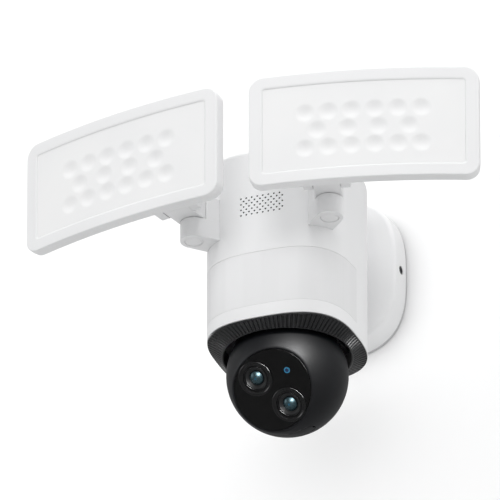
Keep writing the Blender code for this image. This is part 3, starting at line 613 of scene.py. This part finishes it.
gasket = finish_mesh("base_gasket_skin", skin([
    base_ring(56.0, 0.0), base_ring(56.25, -0.25), base_ring(56.25, -GASKET_T + 0.25),
    base_ring(56.0, -GASKET_T), base_ring(53.4, -GASKET_T), base_ring(53.4, 0.0)], closed=True), GASKET_GREY)
stands_for(gasket, "base_gasket", "housing")

cross = [(-0.35, -1.7), (0.35, -1.7), (0.35, -0.35), (1.7, -0.35), (1.7, 0.35), (0.35, 0.35),
         (0.35, 1.7), (-0.35, 1.7), (-0.35, 0.35), (-1.7, 0.35), (-1.7, -0.35), (-0.35, -0.35)]
for label, side in (("left", -1), ("right", 1)):
    frm = at(0, screw_y, screw_z) @ (ALONG_X if side > 0 else axes((0, -1, 0), (0, 0, 1), (-1, 0, 0)))
    top = abs(high("lock_screw_right").x)
    head = [(0.0, top), (1.6, top - 0.05)] + [(1.6 + 1.2 * sin(a), top - 0.55 + 0.5 * cos(a)) for a in
                                              (radians(d) for d in (25, 50, 75, 90))]
    head += [(2.8, top - 1.2), (1.35, top - 1.2), (1.35, top - 8.4), (0.0, top - 9.6)]
    screw = turned("lock_screw_%s_skin" % label, head, SCREW, frm, 40)
    carve(screw, prism("slot", cross, top - 0.9, top + 1.0, SCREW, frm))
    stands_for(screw, "lock_screw_%s" % label, "housing")

# ==== body ====================================================================
inner = BODY_HALF - BODY_WALL


def body_cup(name, material):
    rings = [body_ring(inner - 1.5, BODY_TOP - BODY_WALL), body_ring(inner, BODY_TOP - BODY_WALL - 1.5),
             body_ring(inner, BODY_BOTTOM), body_ring(BODY_HALF - 0.6, BODY_BOTTOM),
             body_ring(BODY_HALF - 0.18, BODY_BOTTOM + 0.18), body_ring(BODY_HALF, BODY_BOTTOM + 0.6),
             body_ring(BODY_HALF, -60.0), body_ring(BODY_HALF, -20.0), body_ring(BODY_HALF, 20.0)]
    rings += [body_ring(x, z) for x, z in arc(BODY_HALF - 3.2, BODY_TOP - 3.2, 3.2, 0, 90, 7)]
    rings += [body_ring(36.0, BODY_TOP), body_ring(20.0, BODY_TOP)]
    return finish_mesh(name, skin(rings), material)


def band_bm(sections):
    return skin(sections)


def band(name, outer, inner_half, start, stop, bottom, top, material, soft=0.0, step=1.6, shift=0.0):
    """Strip that follows the body's outline between two angles, in degrees."""
    count = int((stop - start) / step)
    sections = []
    for k in range(count + 1):
        deg = start + (stop - start) * k / count
        t = radians(deg)
        section = []
        corners = [(outer - soft, bottom), (outer, bottom + soft), (outer, top - soft), (outer - soft, top),
                   (inner_half, top), (inner_half, bottom)] if soft else \
                  [(outer, bottom), (outer, top), (inner_half, top), (inner_half, bottom)]
        for half, z in corners:
            r = squircle_r(t, half, BODY_EXP)
            section.append((r * cos(t), BODY_Y + r * sin(t), z))
        sections.append(section)
    return finish_mesh(name, skin(sections), material, weighted=False)


housing = body_cup("body_housing_skin", WHITE)
carve(housing, solid("rear", (-60, BODY_SPLIT, -100), (60, 0, 60)))
carve(housing, band("seat", BODY_HALF + 2.0, BODY_HALF - 1.25 - 0.3, 183.3, 356.7, PIR_BOTTOM - 0.10,
                    PIR_TOP + 0.07, WHITE, step=1.61))
carve(housing, band("view", BODY_HALF + 2.0, BODY_HALF - 6.0, 192.0, 348.0, PIR_BOTTOM + 3.4,
                    PIR_TOP - 3.4, WHITE, step=1.73))
grille = bmesh.new()
front_y = low("body_housing").y
for col in range(16):
    x = (col - 7.5) * 1.95
    for row in ((-1, 0, 1) if col % 2 else (-1.5, -0.5, 0.5, 1.5)):
        made = bmesh.ops.create_cone(grille, cap_ends=True, segments=16, radius1=0.66, radius2=0.66,
                                     depth=12)["verts"]
        bmesh.ops.transform(grille, verts=made, matrix=at(x, front_y + 1.0, 0.4 + row * 4.2) @ BACK)
carve(housing, finish_mesh("holes", grille, WHITE, weighted=False))
stands_for(housing, "body_housing", "housing")

rear = body_cup("rear_cover_skin", WHITE)
carve(rear, solid("front", (-60, -200, -100), (60, BODY_SPLIT + 0.3, 60)))
carve(rear, rod("neck", NECK_R, -31.0, high("rear_cover").y, BACK @ Matrix.Rotation(0.13, 4, 'Z'), 96), how='UNION')
carve(rear, rod("bore", NECK_BORE, -36.0, -10.0, BACK @ Matrix.Rotation(0.11, 4, 'Z'), 96))
stands_for(rear, "rear_cover", "housing")

sensor = band("pir_window_skin", BODY_HALF, BODY_HALF - 1.25, 183.4, 356.6, PIR_BOTTOM, PIR_TOP, SENSOR,
              soft=0.16, step=0.9)
stands_for(sensor, "pir_window", "housing")

# black sheet just under the skin, behind the speaker holes, which makes them show dark
speaker_backing = band("speaker_backing_skin", BODY_HALF - 0.42, BODY_HALF - 0.8, 248.0, 292.0, 0.4 - 7.9, 0.4 + 7.9, BLACK)
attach(speaker_backing, "housing")

# ==== ribbed ring ==============================================================
RIBS, PER = 104, 6
count = RIBS * PER
TOP_EDGE = (BODY_HALF - 0.35, BODY_BOTTOM - 1.35)      # (half, z) where the ribs start
LOW_EDGE = (RING_BORE + 1.1, RING_LOW)


def ring_row(half, z, mix, groove=0.0):
    """mix 0 is the body's outline, 1 a circle; groove sinks every rib gap."""
    row = []
    for i in range(count):
        t = 2 * pi * i / count
        exponent = BODY_EXP + (2.0 - BODY_EXP) * mix
        r = squircle_r(t, half, exponent)
        zz = z
        sunk = (0.0, 0.0, 0.0, 0.0, 1.0, 1.0)[i % PER] * groove
        r -= 0.66 * sunk
        zz += 0.75 * sunk
        row.append((r * cos(t), BODY_Y + r * sin(t), zz))
    return row


rows = [ring_row(RING_BORE, RING_TOP, 1.0), ring_row(46.6, RING_TOP, 0.0), ring_row(46.6, BODY_BOTTOM - 0.3, 0.0),
        ring_row(BODY_HALF - 0.5, BODY_BOTTOM - 0.3, 0.0), ring_row(BODY_HALF - 0.2, BODY_BOTTOM - 0.55, 0.0),
        ring_row(BODY_HALF - 0.2, BODY_BOTTOM - 1.1, 0.0)]
for t, depth in ((0.0, 0.0), (0.02, 0.75), (0.25, 0.75), (0.5, 0.75), (0.75, 0.75), (0.94, 0.75), (0.965, 0.0), (1.0, 0.0)):
    half = TOP_EDGE[0] + (LOW_EDGE[0] - TOP_EDGE[0]) * t
    z = TOP_EDGE[1] + (LOW_EDGE[1] - TOP_EDGE[1]) * t
    z += 0.35 * sin(pi * t)                  # the cone is very slightly hollow
    rows.append(ring_row(half, z, t, depth))
rows += [ring_row(RING_BORE + 0.5, RING_LOW + 0.02, 1.0), ring_row(RING_BORE + 0.1, RING_LOW + 0.25, 1.0),
         ring_row(RING_BORE, RING_LOW + 0.7, 1.0)]
ring = finish_mesh("ribbed_ring_skin", skin(rows, closed=True), RIB_BLACK, angle=25.0, weighted=False)
stands_for(ring, "ribbed_ring", "housing")

# ==== camera head (in the head frame: X across, Y up the face, Z out) ==========
RIM_A, RIM_B, RIM_TURN = 30.7, 27.4, radians(42.0)


def rim(phi, less=0.0):
    a, b = RIM_A - less, RIM_B - less
    c, s = cos(phi - RIM_TURN), sin(phi - RIM_TURN)
    return a * b / sqrt((b * c) ** 2 + (a * s) ** 2)


def face_z(x, y):
    s = x * cos(RIM_TURN) + y * sin(RIM_TURN)
    return 30.22 - 0.0037 * s * s


SEG = 180
PHI = [2 * pi * i / SEG for i in range(SEG)]
r_in = BALL_R - BALL_WALL
rows = []
for k in range(25):                          # inside, from the back pole to the opening
    row = []
    for phi in PHI:
        stop = asin((rim(phi, 1.5)) / r_in)
        a = pi - 0.02 + (stop - pi + 0.02) * k / 24
        row.append((r_in * sin(a) * cos(phi), r_in * sin(a) * sin(phi), r_in * cos(a)))
    rows.append(row)
for less, drop in ((1.15, 2.4), (1.12, 0.5), (1.02, 0.2), (0.8, 0.05), (0.4, -0.02)):
    row = []
    for phi in PHI:
        r = rim(phi, less)
        z = sqrt(BALL_R ** 2 - rim(phi) ** 2) - drop
        row.append((r * cos(phi), r * sin(phi), z))
    rows.append(row)
for k in range(65):                          # outside, from the rim to the back pole
    row = []
    for phi in PHI:
        start = asin((rim(phi) + 0.12) / BALL_R)
        a = start + (pi - 0.02 - start) * (k / 64)
        row.append((BALL_R * sin(a) * cos(phi), BALL_R * sin(a) * sin(phi), BALL_R * cos(a)))
    rows.append(row)
shell = finish_mesh("head_shell_skin", skin(rows), BALL_BLACK, HEAD, weighted=False)

slot_low, slot_high = radians(90 + TILT_REST - TILT_UP - 9), radians(90 + TILT_REST + TILT_DOWN + 9)
strip = [(47.0 * sin(a), 47.0 * cos(a)) for a in (slot_low + (slot_high - slot_low) * i / 24 for i in range(25))]
strip += [(30.0 * sin(a), 30.0 * cos(a)) for a in (slot_high + (slot_low - slot_high) * i / 24 for i in range(25))]
carve(shell, prism("slot", strip, -5.9, 5.9, BALL_BLACK, HEAD @ ACROSS))

fa = radians(61.0)
radial = Vector((0.0, -sin(fa), cos(fa)))
across = Vector((1.0, 0.0, 0.0))
FLAP = HEAD @ axes(across, radial.cross(across), radial)
FLAP_LEN, FLAP_W, FLAP_T = 30.0, 9.5, 1.4


def patch(name, length, width, bottom, top, material, soft=0.0, cols=28, turns=12):
    """Round-ended plate that follows the ball between two radii."""
    r, half = width / 2, (length - width) / 2
    xs = [-half - r * cos(pi / 2 * i / turns) for i in range(turns)]
    xs += [-half + 2 * half * i / cols for i in range(cols + 1)]
    xs += [half + r * cos(pi / 2 * i / turns) for i in range(turns - 1, -1, -1)]
    sections = []
    for x in xs:
        over = max(0.0, abs(x) - half)
        w = max(0.25, sqrt(max(0.0, r * r - over * over)))
        section = []
        tops = [(-w, top - soft), (-w + soft, top)] if soft else [(-w, top)]
        tops += [(w * f, top) for f in (-0.6, -0.2, 0.2, 0.6)]
        tops += [(w - soft, top), (w, top - soft)] if soft else [(w, top)]
        for y, rad in tops + [(w, bottom), (0.0, bottom), (-w, bottom)]:
            section.append((x, y, sqrt(rad * rad - x * x - y * y)))
        sections.append(section)
    return finish_mesh(name, skin(sections), material, FLAP, weighted=False)


carve(shell, patch("pocket", FLAP_LEN + 0.6, FLAP_W + 0.6, BALL_R - FLAP_T - 0.3, BALL_R + 3.0, BALL_BLACK),
      rod("button", 2.8, 30.0, 42.0, FLAP @ at(4.0, 0, 0)))
stands_for(shell, "head_shell", "camera_head")

flap = patch("service_flap_skin", FLAP_LEN, FLAP_W, BALL_R - FLAP_T, BALL_R, BALL_BLACK, soft=0.15)
carve(flap, rod("notch", 1.7, 28.0, 44.0, FLAP @ at(FLAP_LEN / 2 + 0.3, 0, 0), 32))
stands_for(flap, "service_flap", "service_flap")

rows = []
for scale in (0.01, 0.2, 0.4, 0.6, 0.8, 0.93):
    rows.append([(scale * rim(p, 1.45) * cos(p), scale * rim(p, 1.45) * sin(p),
                  face_z(scale * rim(p, 1.45) * cos(p), scale * rim(p, 1.45) * sin(p))) for p in PHI])
for less, drop in ((1.50, 0.0), (1.40, 0.03), (1.33, 0.1), (1.30, 0.24), (1.30, 2.2)):
    rows.append([(rim(p, less) * cos(p), rim(p, less) * sin(p),
                  face_z(rim(p, less) * cos(p), rim(p, less) * sin(p)) - drop) for p in PHI])
rows.append([(0.01 * rim(p) * cos(p), 0.01 * rim(p) * sin(p), 27.6) for p in PHI])
face = finish_mesh("face_plate_skin", skin(rows), GLOSS, HEAD, weighted=False)
carve(face, rod("a", 9.2, 20.0, 34.0, HEAD @ at(*LENS_A, 0), 72), rod("b", 9.2, 20.0, 34.0, HEAD @ at(*LENS_B, 0), 72),
      rod("c", 2.35, 20.0, 34.0, HEAD @ at(*LED_AT, 0), 40))
stands_for(face, "face_plate", "camera_head")

TOP = 30.22                                  # face level at the lenses
for label, (lx, ly) in (("wide_lens", LENS_A), ("tele_lens", LENS_B)):
    frm = HEAD @ at(lx, ly, TOP)
    prof = [(12.0, 0.02), (12.0, 0.14), (11.92, 0.30), (11.68, 0.48), (11.38, 0.61), (11.05, 0.68), (10.8, 0.66),
            (10.55, 0.5), (10.05, 0.05), (9.55, -0.4), (9.15, -0.64), (8.85, -0.68), (8.62, -0.55), (8.5, -0.28),
            (8.38, -0.1), (8.2, -0.02), (7.98, -0.03), (7.8, -0.14), (7.66, -0.4), (7.6, -0.8), (7.6, -2.4), (8.9, -2.4),
            (8.9, 0.02)]
    ringp = turned(label + "_ring_skin", prof, LENS_BLACK, frm, 128, ring=True, angle=50.0)
    stands_for(ringp, label + "_ring", "camera_head")
    prof = [(7.45, -0.95), (7.45, -16.0), (4.0, -16.0), (4.0, -4.2), (5.2, -3.1)]
    steps = 5
    for k in range(steps):                   # stepped glare baffle
        r0 = 5.3 + (7.0 - 5.3) * k / steps
        r1 = 5.3 + (7.0 - 5.3) * (k + 1) / steps
        z0 = -2.6 + 1.45 * k / steps
        z1 = -2.6 + 1.45 * (k + 1) / steps
        prof += [(r0, z0), (r0 + 0.08, z1 - 0.12), (r1 - 0.08, z1)]
    prof += [(7.05, -1.15), (7.2, -0.95)]
    barrel = turned(label + "_barrel_skin", prof, BLACK, frm, 96, ring=True, angle=30.0)
    stands_for(barrel, label + "_barrel", "camera_head")
    sphere = 6.7
    dome, tags = [], []
    for k in range(15):
        a = radians(51.0) * k / 14
        dome.append((sphere * sin(a), 0.05 - sphere * (1 - cos(a))))
    for k in range(14):
        rr = dome[k][0]
        # the centre disc (index 2) gets the painted reflection colour
        tags.append(2 if rr < 0.75 else (1 if rr < 4.5 else 0))
    dome += [(dome[-1][0], -2.9), (0.0, -2.9)]
    tags += [0, 0]
    glass = turned(label + "_glass_skin", dome, [GLASS_RIM, GLASS_TINT, GLASS_PAINTED_REFLECTION], frm, 96, tag=tags)
    stands_for(glass, label + "_glass", "camera_head")

prof = [(0.0, -0.28), (1.05, -0.26), (1.28, -0.18), (1.36, -0.02), (1.55, 0.03), (1.95, 0.02), (2.08, -0.08),
        (2.12, -0.3), (2.12, -3.2), (0.0, -3.2)]
light = turned("status_light_skin", prof, [BLUE_CORE, BLUE_RING, BLACK], HEAD @ at(*LED_AT, face_z(*LED_AT) + 0.02), 64,
               tag=[0, 0, 1, 1, 1, 1, 1, 2, 2])
stands_for(light, "status_light", "camera_head")

# ==== arms, hinges and lamps ====================================================


def lamp_outline(inset, corner=None, n_long=64, n_short=26, n_corner=10):
    hw, hh = LAMP_W / 2 - inset, LAMP_H / 2 - inset
    r = max(LAMP_CORNER - inset, 0.5) if corner is None else corner
    spots = ((hw - r, -(hh - r), -90), (hw - r, hh - r, 0), (-(hw - r), hh - r, 90), (-(hw - r), -(hh - r), 180))
    pts = []
    for k, (cx, cy, a0) in enumerate(spots):
        for i in range(n_corner + 1):
            a = radians(a0 + 90 * i / n_corner)
            pts.append((cx + r * cos(a), cy + r * sin(a)))
        nx, ny, na = spots[(k + 1) % 4]
        end = (nx + r * cos(radians(na)), ny + r * sin(radians(na)))
        start = pts[-1]
        n = n_short if k % 2 == 0 else n_long
        for i in range(1, n):
            pts.append((start[0] + (end[0] - start[0]) * i / n, start[1] + (end[1] - start[1]) * i / n))
    return pts


def lamp_point(side, u, z, depth):
    return (side * (LAMP_C + u), -(LAMP_N - u * u / (2 * LAMP_BEND) - depth), LAMP_Z + z)


def lamp_rings(side, table):
    """Rings from rows of (inset, depth, corner or None)."""
    return [[lamp_point(side, u, z, depth) for u, z in lamp_outline(inset, corner)]
            for inset, depth, corner in table]


for label, side in (("left", -1), ("right", 1)):
    pivot = pos("%s_lamp_swivel" % label)
    swivel = at(pivot.x, pivot.y, 0) @ Matrix.Rotation(radians(side * YAW_REST), 4, 'Z')
    # arm
    offset = Vector((pivot.x, pivot.y - BODY_Y, 0.0))
    reach = offset.length
    frm = at(0, BODY_Y, 0) @ Matrix.Rotation(atan2(offset.y, offset.x), 4, 'Z')
    seat = [(40.0, -ARM_R)] + [(reach + ARM_R * cos(a), ARM_R * sin(a)) for a in
                               (-pi / 2 + pi * i / 40 for i in range(41))] + [(40.0, ARM_R)]
    arm = prism("%s_arm_skin" % label, seat, ARM_LOW, ARM_STEP, WHITE, frm, soft=0.45)
    end = reach - 5.0
    half_web = ARM_R - 0.12
    web = [(41.0, -half_web), (end, -half_web), (end, half_web), (41.0, half_web)]
    web = round_corners(web, [0, 0.6, 0.6, 0], 4)
    carve(arm, prism("web", web, ARM_STEP - 4.0, ARM_HIGH, WHITE, frm, soft=0.45), how='UNION')
    carve(arm, rod("swing", KNUCKLE_R + 0.35, ARM_STEP, ARM_HIGH + 9.0, at(pivot.x, pivot.y, 0), 96))
    outline = squircle(BODY_HALF + 0.05, BODY_EXP, 230, 0.004)
    carve(arm, prism("bodycut", outline, -100, 80, WHITE, at(0, BODY_Y, 0)))
    carve(arm, rod("hole", 3.3, -25.0, 0.0, at(pivot.x, pivot.y, 0)),
          rod("seat", 6.3, -25.0, -16.4, at(pivot.x, pivot.y, 0), 72))
    stands_for(arm, "%s_arm" % label, "housing")
    # swivel cap under the arm
    z0 = ARM_LOW + 0.12
    cap = [(0.0, 3.5), (1.8, 3.5), (1.8, -16.7), (6.0, -16.7), (6.0, z0 + 0.3), (5.94, z0 + 0.08), (5.8, z0),
           (5.0, z0), (4.9, z0 + 0.12), (4.8, z0), (0.0, z0)]
    stands_for(turned("%s_swivel_screw_skin" % label, cap, WHITE, swivel, 72), "%s_swivel_screw" % label,
               "%s_swivel" % label)
    # knuckle
    floor = ARM_STEP + 0.3
    r_end = PIN_Z - floor
    neck = [(0.0, floor)] + [(PIN_N + r_end * cos(a), PIN_Z + r_end * sin(a)) for a in
                             (-pi / 2 + pi * i / 28 for i in range(29))] + [(0.0, PIN_Z + r_end)]
    side_view = axes((0, -1, 0), (0, 0, 1), (-1, 0, 0))
    knuckle = prism("%s_knuckle_skin" % label, neck, -KNUCKLE_R + 0.02, KNUCKLE_R - 0.02, WHITE, swivel @ side_view, soft=0.5)
    barrel = [(0.0, KNUCKLE_TOP), (KNUCKLE_R - 1.0, KNUCKLE_TOP)]
    barrel += arc(KNUCKLE_R - 1.0, KNUCKLE_TOP - 1.0, 1.0, 75, 0, 5)
    barrel += [(KNUCKLE_R, floor + 0.3), (KNUCKLE_R - 0.3, floor), (0.0, floor)]
    carve(knuckle, turned("barrel", barrel, WHITE, swivel, 96), how='UNION')
    carve(knuckle, rod("pin", PIN_R + 0.2, -20.0, 20.0, swivel @ at(0, -PIN_N, PIN_Z) @ ALONG_X),
          rod("bolt", 2.1, -10.0, 4.0, swivel))
    stands_for(knuckle, "%s_knuckle" % label, "%s_swivel" % label)

    # lamp: bezel, frosted window, rear housing, clevis
    body = "%s_lamp" % label
    edge = 0.95
    table = [(0.25, 5.0, None), (0.0, 4.75, None), (0.0, edge, None)]
    table += [(edge - edge * cos(radians(d)), edge - edge * sin(radians(d)), None) for d in (18, 36, 54, 72, 90)]
    table += [(LAMP_BORDER - 1.7, 0.0, 2.9), (LAMP_BORDER - 1.05, 0.07, 2.6), (LAMP_BORDER - 0.5, 0.24, 2.3),
              (LAMP_BORDER - 0.12, 0.46, 2.0), (LAMP_BORDER, 0.70, 1.8), (LAMP_BORDER, 2.9, 1.8),
              (LAMP_BORDER + 2.5, 2.9, 1.5), (LAMP_BORDER + 2.5, 5.0, 1.5)]
    bezel = finish_mesh("%s_lamp_bezel_skin" % label, skin(lamp_rings(side, table), closed=True), LAMP_WHITE, swivel)
    stands_for(bezel, "%s_lamp_bezel" % label, body)

    back = 2.4
    table = [(37.0, 8.3, 1.2), (28.0, 8.3, 1.5), (16.0, 8.3, 2.0), (5.0, 8.3, 4.0), (3.5, 7.4, 5.5), (3.5, 5.3, 6.0),
             (0.75, 5.3, None), (0.5, 5.55, None), (0.5, LAMP_T - back, None)]
    table += [(0.5 + back - back * cos(radians(d)), LAMP_T - back + back * sin(radians(d)), None)
              for d in (15, 30, 45, 60, 75, 90)]
    table += [(7.0, LAMP_T, 6.0), (7.6, LAMP_T - 0.35, 5.6), (8.2, LAMP_T, 5.2), (16.0, LAMP_T, 2.0), (28.0, LAMP_T, 1.5),
              (37.0, LAMP_T, 1.2)]
    back_shell = finish_mesh("%s_lamp_housing_skin" % label, skin(lamp_rings(side, table)), LAMP_WHITE, swivel)
    stands_for(back_shell, "%s_lamp_housing" % label, body)

    # window: a moulded sheet with a shallow cup over each emitter
    wide, tall = LAMP_W - 2 * LAMP_BORDER - 0.04, LAMP_H - 2 * LAMP_BORDER - 0.04
    cols, lines = 190, 88
    bm = bmesh.new()
    sheets = []
    for layer, (base, sign) in enumerate(((0.6, 1), (2.3, 1))):
        grid = []
        for i in range(cols + 1):
            u = -wide / 2 + wide * i / cols
            column = []
            for j in range(lines + 1):
                z = -tall / 2 + tall * j / lines
                sink = 0.0
                for dz, row in LED_ROWS:
                    for lu in row:
                        d = sqrt((u - lu) ** 2 + (z - dz + 2.6) ** 2) / 6.9
                        if d < 1.0:
                            sink = max(sink, 1.15 * (1.0 - d * d) ** 1.6)
                column.append(bm.verts.new(lamp_point(side, u, z, base + sink)))
            grid.append(column)
        sheets.append(grid)
    for layer, grid in enumerate(sheets):
        for i in range(cols):
            for j in range(lines):
                bm.faces.new((grid[i][j], grid[i + 1][j], grid[i + 1][j + 1], grid[i][j + 1]))
    a, b = sheets
    for i in range(cols):
        bm.faces.new((a[i][0], a[i + 1][0], b[i + 1][0], b[i][0]))
        bm.faces.new((a[i][-1], a[i + 1][-1], b[i + 1][-1], b[i][-1]))
    for j in range(lines):
        bm.faces.new((a[0][j], a[0][j + 1], b[0][j + 1], b[0][j]))
        bm.faces.new((a[-1][j], a[-1][j + 1], b[-1][j + 1], b[-1][j]))
    window = finish_mesh("%s_lamp_window_skin" % label, bm, FROST, swivel, angle=50.0, weighted=False)
    stands_for(window, "%s_lamp_window" % label, body)

    # clevis: two ears with rounded ends round the neck, its foot on the lamp
    ear = [(EAR_REAR, ARM_STEP), (43.0, ARM_STEP), (43.0, 11.0), (EAR_REAR, 11.0)]
    ear = round_corners(ear, [3.0, 0.0, 0.0, 3.0], 8)
    fork = prism("%s_clevis_skin" % label, ear, -EAR_OUT, EAR_OUT, LAMP_WHITE, swivel @ side_view, soft=0.6)
    carve(fork, solid("gap", (-EAR_IN, -28.6, -20), (EAR_IN, 0, 20), swivel))
    foot = finish_mesh("foot", skin(lamp_rings(side, [(-8.0, -8.0, 6.0), (-8.0, LAMP_T + 0.3, 6.0)])), WHITE, swivel,
                       weighted=False)
    carve(fork, foot)
    carve(fork, rod("bore", PIN_R + 0.2, -20, 20, swivel @ at(0, -PIN_N, PIN_Z) @ ALONG_X))
    stands_for(fork, "%s_clevis" % label, body)

# ==== stage: wall, floor, light, camera ==========================================
def one_sided(name, colour, strength):
    """Pale matte paint that lets a view from behind through, with a little glow."""
    mat = bpy.data.materials.new(name)
    mat.use_nodes = True
    tree = mat.node_tree
    for n in list(tree.nodes):
        tree.nodes.remove(n)
    out = tree.nodes.new("ShaderNodeOutputMaterial")
    diffuse = tree.nodes.new("ShaderNodeBsdfDiffuse")
    diffuse.inputs["Color"].default_value = (*colour, 1.0)
    glow = tree.nodes.new("ShaderNodeEmission")
    glow.inputs["Strength"].default_value = strength
    both = tree.nodes.new("ShaderNodeAddShader")
    clear = tree.nodes.new("ShaderNodeBsdfTransparent")
    pick = tree.nodes.new("ShaderNodeMixShader")
    geo = tree.nodes.new("ShaderNodeNewGeometry")
    tree.links.new(diffuse.outputs[0], both.inputs[0])
    tree.links.new(glow.outputs[0], both.inputs[1])
    tree.links.new(geo.outputs["Backfacing"], pick.inputs[0])
    tree.links.new(both.outputs[0], pick.inputs[1])
    tree.links.new(clear.outputs[0], pick.inputs[2])
    tree.links.new(pick.outputs[0], out.inputs[0])
    return mat


def plane(name, corners, material):
    bm = bmesh.new()
    bm.faces.new([bm.verts.new(c) for c in corners])
    mesh = bpy.data.meshes.new(name)
    bm.to_mesh(mesh)
    bm.free()
    mesh.materials.append(material)
    obj = bpy.data.objects.new(name, mesh)
    bpy.context.scene.collection.objects.link(obj)
    return obj


LIT = bpy.data.collections.new("lit_object")
SCREEN = bpy.data.collections.new("lit_wall")
CASTS = bpy.data.collections.new("wall_shadow")
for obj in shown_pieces():
    LIT.objects.link(obj)
for name in ("base_cover_skin", "base_gasket_skin"):
    CASTS.objects.link(bpy.data.objects[name])

wall_y = 0.0006
wall = plane("stage_backdrop", ((-6, wall_y, -1.9), (6, wall_y, -1.9), (6, wall_y, 5), (-6, wall_y, 5)),
             one_sided("stage_wall", (0.92, 0.92, 0.92), WALL_GLOW))
wall.visible_glossy = False
ground = plane("stage_ground", ((-8, -8, -1.9), (8, -8, -1.9), (8, 8, -1.9), (-8, 8, -1.9)),
               one_sided("stage_floor", (0.87, 0.87, 0.87), 0.0))
SCREEN.objects.link(wall)
FLOOR = bpy.data.collections.new("lit_floor")
FLOOR.objects.link(ground)

world = bpy.context.scene.world or bpy.data.worlds.new("world")
bpy.context.scene.world = world
world.use_nodes = True
background = world.node_tree.nodes.get("Background") or world.node_tree.nodes.new("ShaderNodeBackground")
background.inputs["Color"].default_value = (0.992, 0.996, 1.0, 1.0)
background.inputs["Strength"].default_value = WORLD

CENTRE = Vector((0.0, -0.08, 0.0))


def softbox(name, direction, distance, width, height, power, glossy=True, diffuse=True, lit=None, casts=None):
    data = bpy.data.lights.new(name, 'AREA')
    data.shape = 'RECTANGLE'
    data.size, data.size_y = width, height
    data.energy = power
    obj = bpy.data.objects.new(name, data)
    d = Vector(direction).normalized()
    obj.location = CENTRE + d * distance
    obj.rotation_mode = 'QUATERNION'
    obj.rotation_quaternion = d.to_track_quat('Z', 'Y')
    obj.visible_camera = False
    obj.visible_glossy = glossy
    obj.visible_diffuse = diffuse
    bpy.context.scene.collection.objects.link(obj)
    obj.light_linking.receiver_collection = lit or LIT
    if casts:
        obj.light_linking.blocker_collection = casts
    return obj


for row in LIGHTS:
    softbox(*row[:6], **row[6])
BLACKS = bpy.data.collections.new("lit_black")
for name in ("head_shell_skin", "service_flap_skin", "face_plate_skin", "wide_lens_ring_skin",
             "tele_lens_ring_skin"):
    BLACKS.objects.link(bpy.data.objects[name])
GLASSES = bpy.data.collections.new("lit_glass")
for name in ("wide_lens_glass_skin", "tele_lens_glass_skin"):
    GLASSES.objects.link(bpy.data.objects[name])
RINGS = bpy.data.collections.new("lit_ring")
RINGS.objects.link(bpy.data.objects["ribbed_ring_skin"])
LENSES = bpy.data.collections.new("lit_lens")
for name in ("wide_lens_ring_skin", "tele_lens_ring_skin", "wide_lens_barrel_skin", "tele_lens_barrel_skin",
             "face_plate_skin"):
    LENSES.objects.link(bpy.data.objects[name])
softbox("shine", (0.60, -0.755, 0.25), 2.4, 0.8, 0.5, 150.0, diffuse=False, lit=BLACKS)
softbox("shine_wide", (0.33, -0.86, 0.39), 2.4, 1.5, 0.4, 60.0, diffuse=False, lit=BLACKS)
softbox("glass", (0.26, -0.935, -0.23), 2.4, 1.4, 1.1, 150.0, diffuse=False, lit=GLASSES)
softbox("lens_shine", (0.88, -0.45, 0.10), 2.4, 1.1, 0.8, 300.0, diffuse=False, lit=LENSES, casts=LENSES)
softbox("ring_left", (-0.97, 0.10, -0.05), 2.4, 1.0, 0.8, 30.0, diffuse=False, lit=RINGS, casts=RINGS)
softbox("ring_right", (0.36, -0.87, -0.31), 2.4, 0.6, 0.6, 26.0, diffuse=False, lit=RINGS, casts=RINGS)
softbox("wall_wash", WALL_DIR, 1.7, 2.8, 2.8, WALL_POWER, lit=SCREEN, casts=CASTS)

AZ, EL, DIST = radians(20.3), radians(-28.5), 9.332
target = Vector((-0.0233, -0.0873, -0.0092))
back_dir = Vector((sin(AZ) * cos(EL), -cos(AZ) * cos(EL), sin(EL)))
cam_data = bpy.data.cameras.new("camera")
cam_data.sensor_width = 36.0
cam_data.lens = 1008.0
cam_data.clip_start, cam_data.clip_end = 0.5, 100.0
cam = bpy.data.objects.new("camera", cam_data)
cam.location = target + back_dir * DIST
cam.rotation_mode = 'QUATERNION'
cam.rotation_quaternion = (-back_dir).to_track_quat('-Z', 'Y')
bpy.context.scene.collection.objects.link(cam)
bpy.context.scene.camera = cam
bpy.context.scene.view_settings.view_transform = 'Standard'
bpy.context.scene.view_settings.look = 'None'
